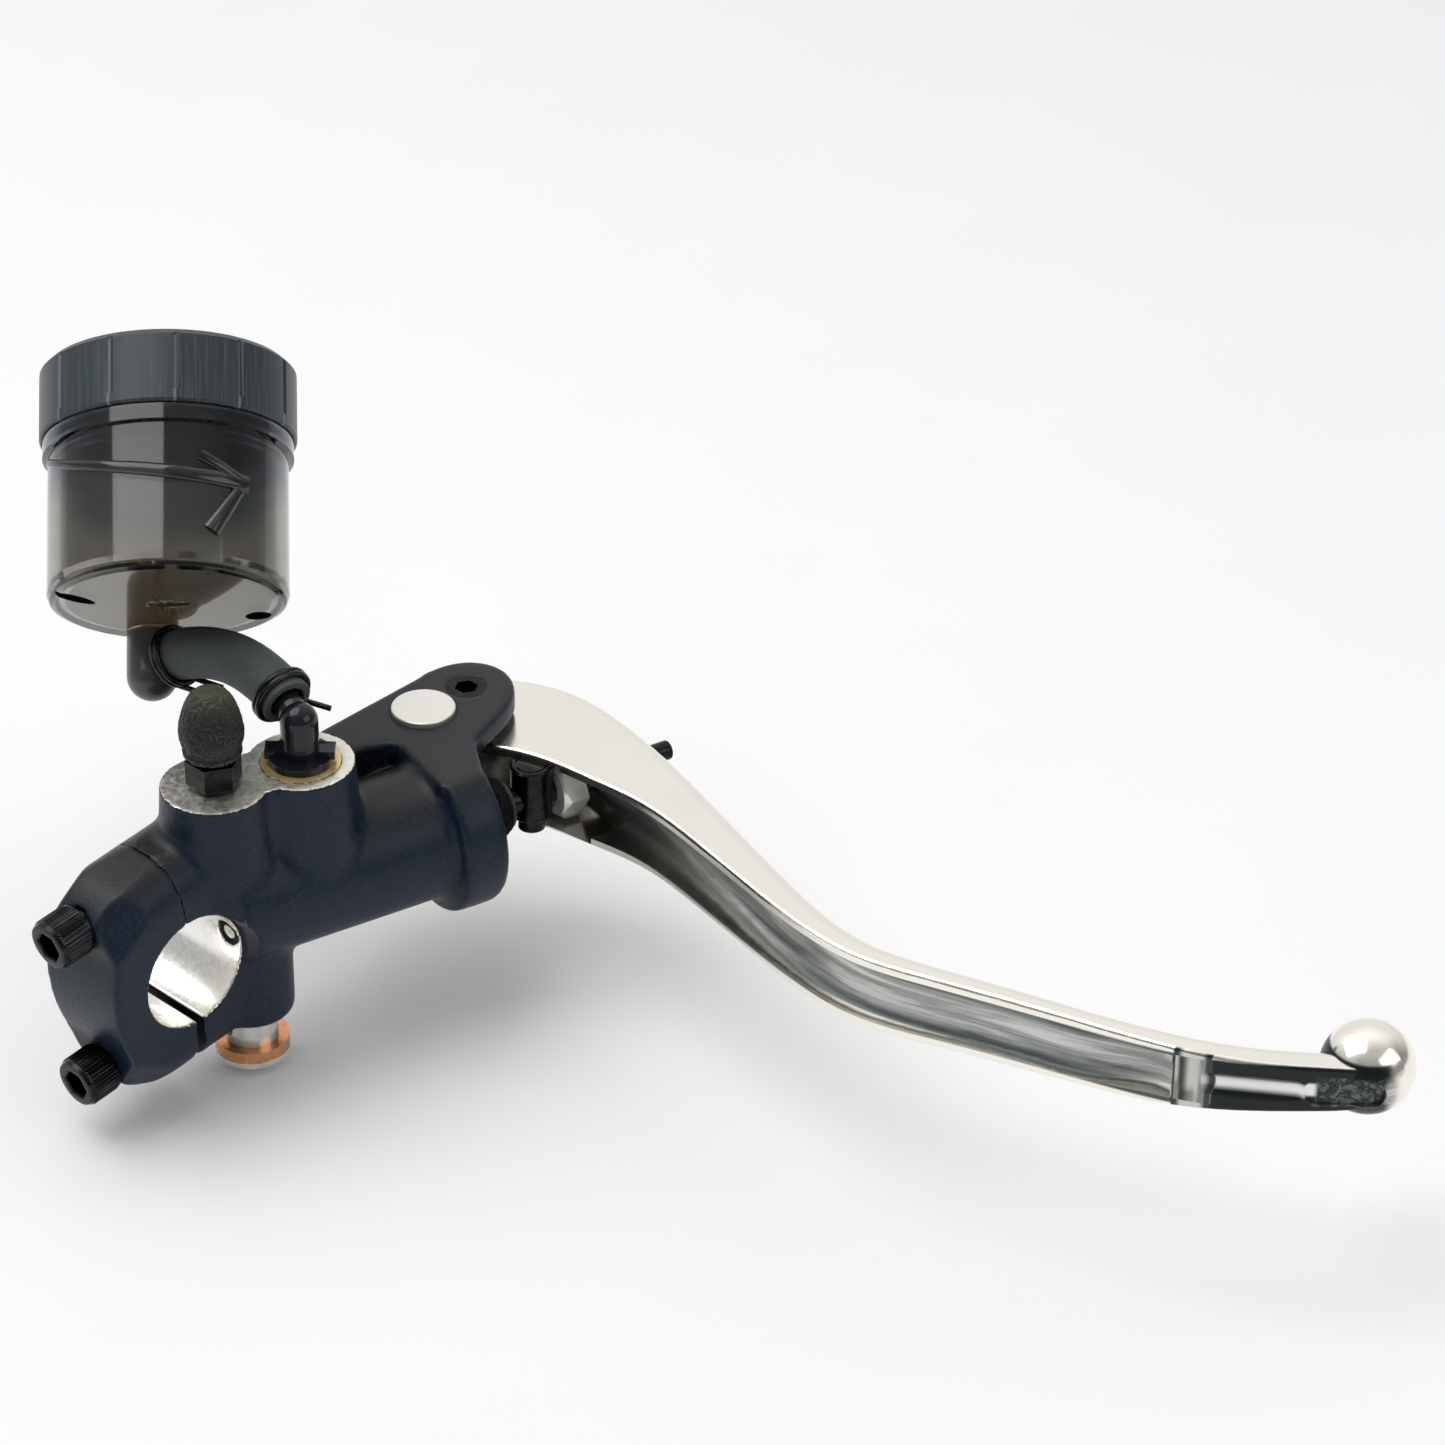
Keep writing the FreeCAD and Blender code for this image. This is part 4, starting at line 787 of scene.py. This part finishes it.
def make_bleed_cap():
    """Dust cap with the coarse wrinkled skin of old rubber and a rolled lip."""
    low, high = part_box("bleed_screw_cap")
    base = Vector(((low.x + high.x) / 2, (low.y + high.y) / 2, low.z))
    outline = [(2.95, 0.0), (4.7, 0.0), (5.25, 0.35), (5.35, 0.9), (5.05, 1.4), (5.35, 2.2), (5.75, 3.6),
               (5.85, 5.0), (5.6, 7.0), (5.0, 9.2), (4.3, 11.0), (3.5, 12.3), (2.3, 13.1), (1.1, 13.3),
               (0.0, 13.3), (0.0, 8.7), (3.1, 8.3), (3.6, 5.0), (2.95, 3.9)]
    cap = remeshed(lathe("bleed_cap", outline, base, (0, 0, 1)), 0.16 * MM)

    def wrinkle(p):
        swirl = Vector((noise.noise(p * 420), noise.noise(p * 420 + Vector((9, 2, 5))), 0)) * 0.0012
        q = (p + swirl) * 900
        return 1.0 - 3.0 * abs(noise.noise(q))

    roughen(cap, 0.15 * MM, wrinkle)
    rubber = moulded_rubber("cap_rubber", (0.003, 0.004, 0.004), (0.095, 0.100, 0.092), high.z)
    finish_piece(cap, "bleed", rubber, ["bleed_screw_cap"], 60)


def follow_piston(obj):
    """Give a piece its own copy of its mesh."""
    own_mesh(obj)


def make_boot():
    """Bellows boot: fine folds that narrow from the cylinder's mouth to the rod."""
    folds = 8
    near, far = 65.0, 71.4
    wide, narrow = 8.9, 4.9
    fold_depth = 0.42
    thickness = 0.75
    outline = [(8.8, 61.0), (10.1, 61.0), (10.1, 64.3), (9.6, 64.7)]
    inner = []
    for i in range(folds * 4 + 1):
        share = i / (folds * 4)
        radius = wide + (narrow - wide) * share ** 0.9
        wave = fold_depth * math.cos(2 * math.pi * folds * share)
        outline.append((radius + wave, near + (far - near) * share))
        inner.append((radius + wave - thickness, near + (far - near) * share))
    outline += [(4.7, 71.7), (4.7, 72.3), (2.75, 72.3), (2.75, 71.5)]
    outline += list(reversed(inner)) + [(8.8, 64.2)]
    boot = lathe("boot", outline, along(0), PUSH_AXIS, 160)
    finish_piece(boot, "housing", MATERIALS["soft_rubber"], ["dust_boot"], 60)
    follow_piston(boot)


def make_spring():
    spring = welded_copy("return_spring", "spring")
    finish_piece(spring, "housing", MATERIALS["spring_steel"], ["return_spring"], 50)
    follow_piston(spring)


# ---- reservoir mouldings --------------------------------------------------------------------


def jar_point(angle_deg, height, radius):
    """A point on the reservoir: angle round its axis, height over its base, radius, in mm."""
    angle = math.radians(angle_deg)
    out = JAR_ACROSS * math.cos(angle) + JAR_UP * math.sin(angle)
    return JAR_BASE + (out * radius + JAR_AXIS * height) * MM


def moulded_bar(name, path, half_widths, rise):
    """A low rounded rib on the reservoir's wall along a path of (angle, height).

    Its half width runs from the first to the second of half_widths."""
    wall = JAR_WALL_RADIUS
    sides = 12
    rings = []
    for i, (angle, height) in enumerate(path):
        before = path[max(i - 1, 0)]
        after = path[min(i + 1, len(path) - 1)]
        step = (math.radians(after[0] - before[0]) * wall, after[1] - before[1])
        size = math.hypot(*step)
        half_width = half_widths[0] + (half_widths[1] - half_widths[0]) * i / (len(path) - 1)
        across = (-step[1] / size, step[0] / size)
        ring = []
        for k in range(sides):
            turn = 2 * math.pi * k / sides
            side = half_width * math.cos(turn)
            lift = rise * max(math.sin(turn), -0.6)
            ring.append(jar_point(angle + math.degrees(across[0] * side / wall), height + across[1] * side,
                                  wall + lift))
        rings.append(ring)
    for index in (0, -1):
        middle = sum(rings[index], Vector()) / len(rings[index])
        cap = [middle] * sides
        rings = [cap] + rings if index == 0 else rings + [cap]
    return ring_mesh(name, rings)


def make_level_mark():
    """Moulded level line that ends in a pointer, as the reservoir carries for its fitted slope."""
    shaft = [(17 + 117 * i / 24, 17.3 + 8.2 * (1 - i / 24) ** 2.2) for i in range(25)]
    upper = [(108.5 + 20 * i / 6, 21.6 - 3.6 * i / 6) for i in range(7)]
    lower = [(128.5 - 14.5 * i / 6, 15.6 - 8.4 * i / 6) for i in range(7)]
    for name, path, half in (("level_line", shaft, (0.8, 1.7)), ("level_pointer_upper", upper, (1.2, 1.0)),
                             ("level_pointer_lower", lower, (1.2, 1.7))):
        bar = moulded_bar(name, path, half, 0.75)
        finish_piece(bar, "housing", MATERIALS["smoked_plastic"], (), 60)


# ---- studio ---------------------------------------------------------------------------------


def make_camera():
    data = bpy.data.cameras.new("camera")
    data.lens = CAMERA_LENS_MM
    data.sensor_width = 36.0
    data.shift_x = CAMERA_SHIFT_X
    data.shift_y = CAMERA_SHIFT_Y
    camera = bpy.data.objects.new("camera", data)
    bpy.context.scene.collection.objects.link(camera)
    back = CAMERA_RIGHT.cross(CAMERA_UP)
    turn = Matrix((CAMERA_RIGHT, CAMERA_UP, back)).transposed().to_4x4()
    camera.matrix_world = Matrix.Translation(CAMERA_PLACE) @ turn
    data.clip_start = 0.01
    data.clip_end = 20.0
    bpy.context.scene.camera = camera


def area_light(name, place, aim, size, power):
    data = bpy.data.lights.new(name, "AREA")
    data.shape = "RECTANGLE"
    data.size = size[0]
    data.size_y = size[1]
    data.energy = power
    light = bpy.data.objects.new(name, data)
    light.location = place
    light.rotation_mode = "QUATERNION"
    light.rotation_quaternion = (Vector(aim) - Vector(place)).to_track_quat("-Z", "Y")
    bpy.context.scene.collection.objects.link(light)


def make_floor():
    lowest = cad_box[0].z
    bpy.ops.mesh.primitive_plane_add(size=8.0, location=(0, 0, lowest - 2 * MM))
    floor = bpy.context.object
    floor.name = "floor"
    m = Shader("pale_floor", Specular_IOR_Level=0.0)
    m.set(Base_Color=m.mix(m.noise(60, 2, 0.5), (0.87, 0.87, 0.87), (0.90, 0.90, 0.90)), Roughness=0.9)
    floor.data.materials.append(m.material)


def make_world():
    """A white room that is dim behind the camera and bright where the lever's top mirrors it."""
    world = bpy.data.worlds.new("studio")
    bpy.context.scene.world = world
    world.use_nodes = True
    tree = world.node_tree
    toward = tree.nodes.new("ShaderNodeTexCoord").outputs["Generated"]
    background = tree.nodes["Background"]
    background.inputs["Color"].default_value = (1, 1, 1, 1)
    total = None
    for aim, start, end, gain in WORLD_LIGHTS:
        dot = tree.nodes.new("ShaderNodeVectorMath")
        dot.operation = "DOT_PRODUCT"
        dot.inputs[1].default_value = Vector(aim).normalized()
        tree.links.new(toward, dot.inputs[0])
        ramp_node = tree.nodes.new("ShaderNodeMapRange")
        ramp_node.interpolation_type = "SMOOTHSTEP"
        for key, value in (("From Min", start), ("From Max", end), ("To Max", gain)):
            ramp_node.inputs[key].default_value = value
        tree.links.new(dot.outputs["Value"], ramp_node.inputs["Value"])
        join = tree.nodes.new("ShaderNodeMath")
        join.inputs[1].default_value = WORLD_DIM
        if total is not None:
            tree.links.new(total, join.inputs[1])
        tree.links.new(ramp_node.outputs[0], join.inputs[0])
        total = join.outputs[0]
    tree.links.new(total, background.inputs["Strength"])


# ---- build ----------------------------------------------------------------------------------

dress_nodes()
make_castings()
clamp_screw("clamp_screw_upper", BOLT_PITCH / 2)
clamp_screw("clamp_screw_lower", -BOLT_PITCH / 2)
make_hose()
make_bleed_cap()
make_boot()
make_spring()
make_level_mark()
make_camera()
bpy.context.scene.view_settings.view_transform = "Standard"
make_world()
make_floor()
area_light("key", (-0.3, -0.2, 1.0), (0.05, 0.05, 0.0), (0.9, 0.9), 6.6)
area_light("fill", (1.0, 0.3, 0.6), (0.05, 0.05, 0.0), (0.8, 0.6), 2.0)
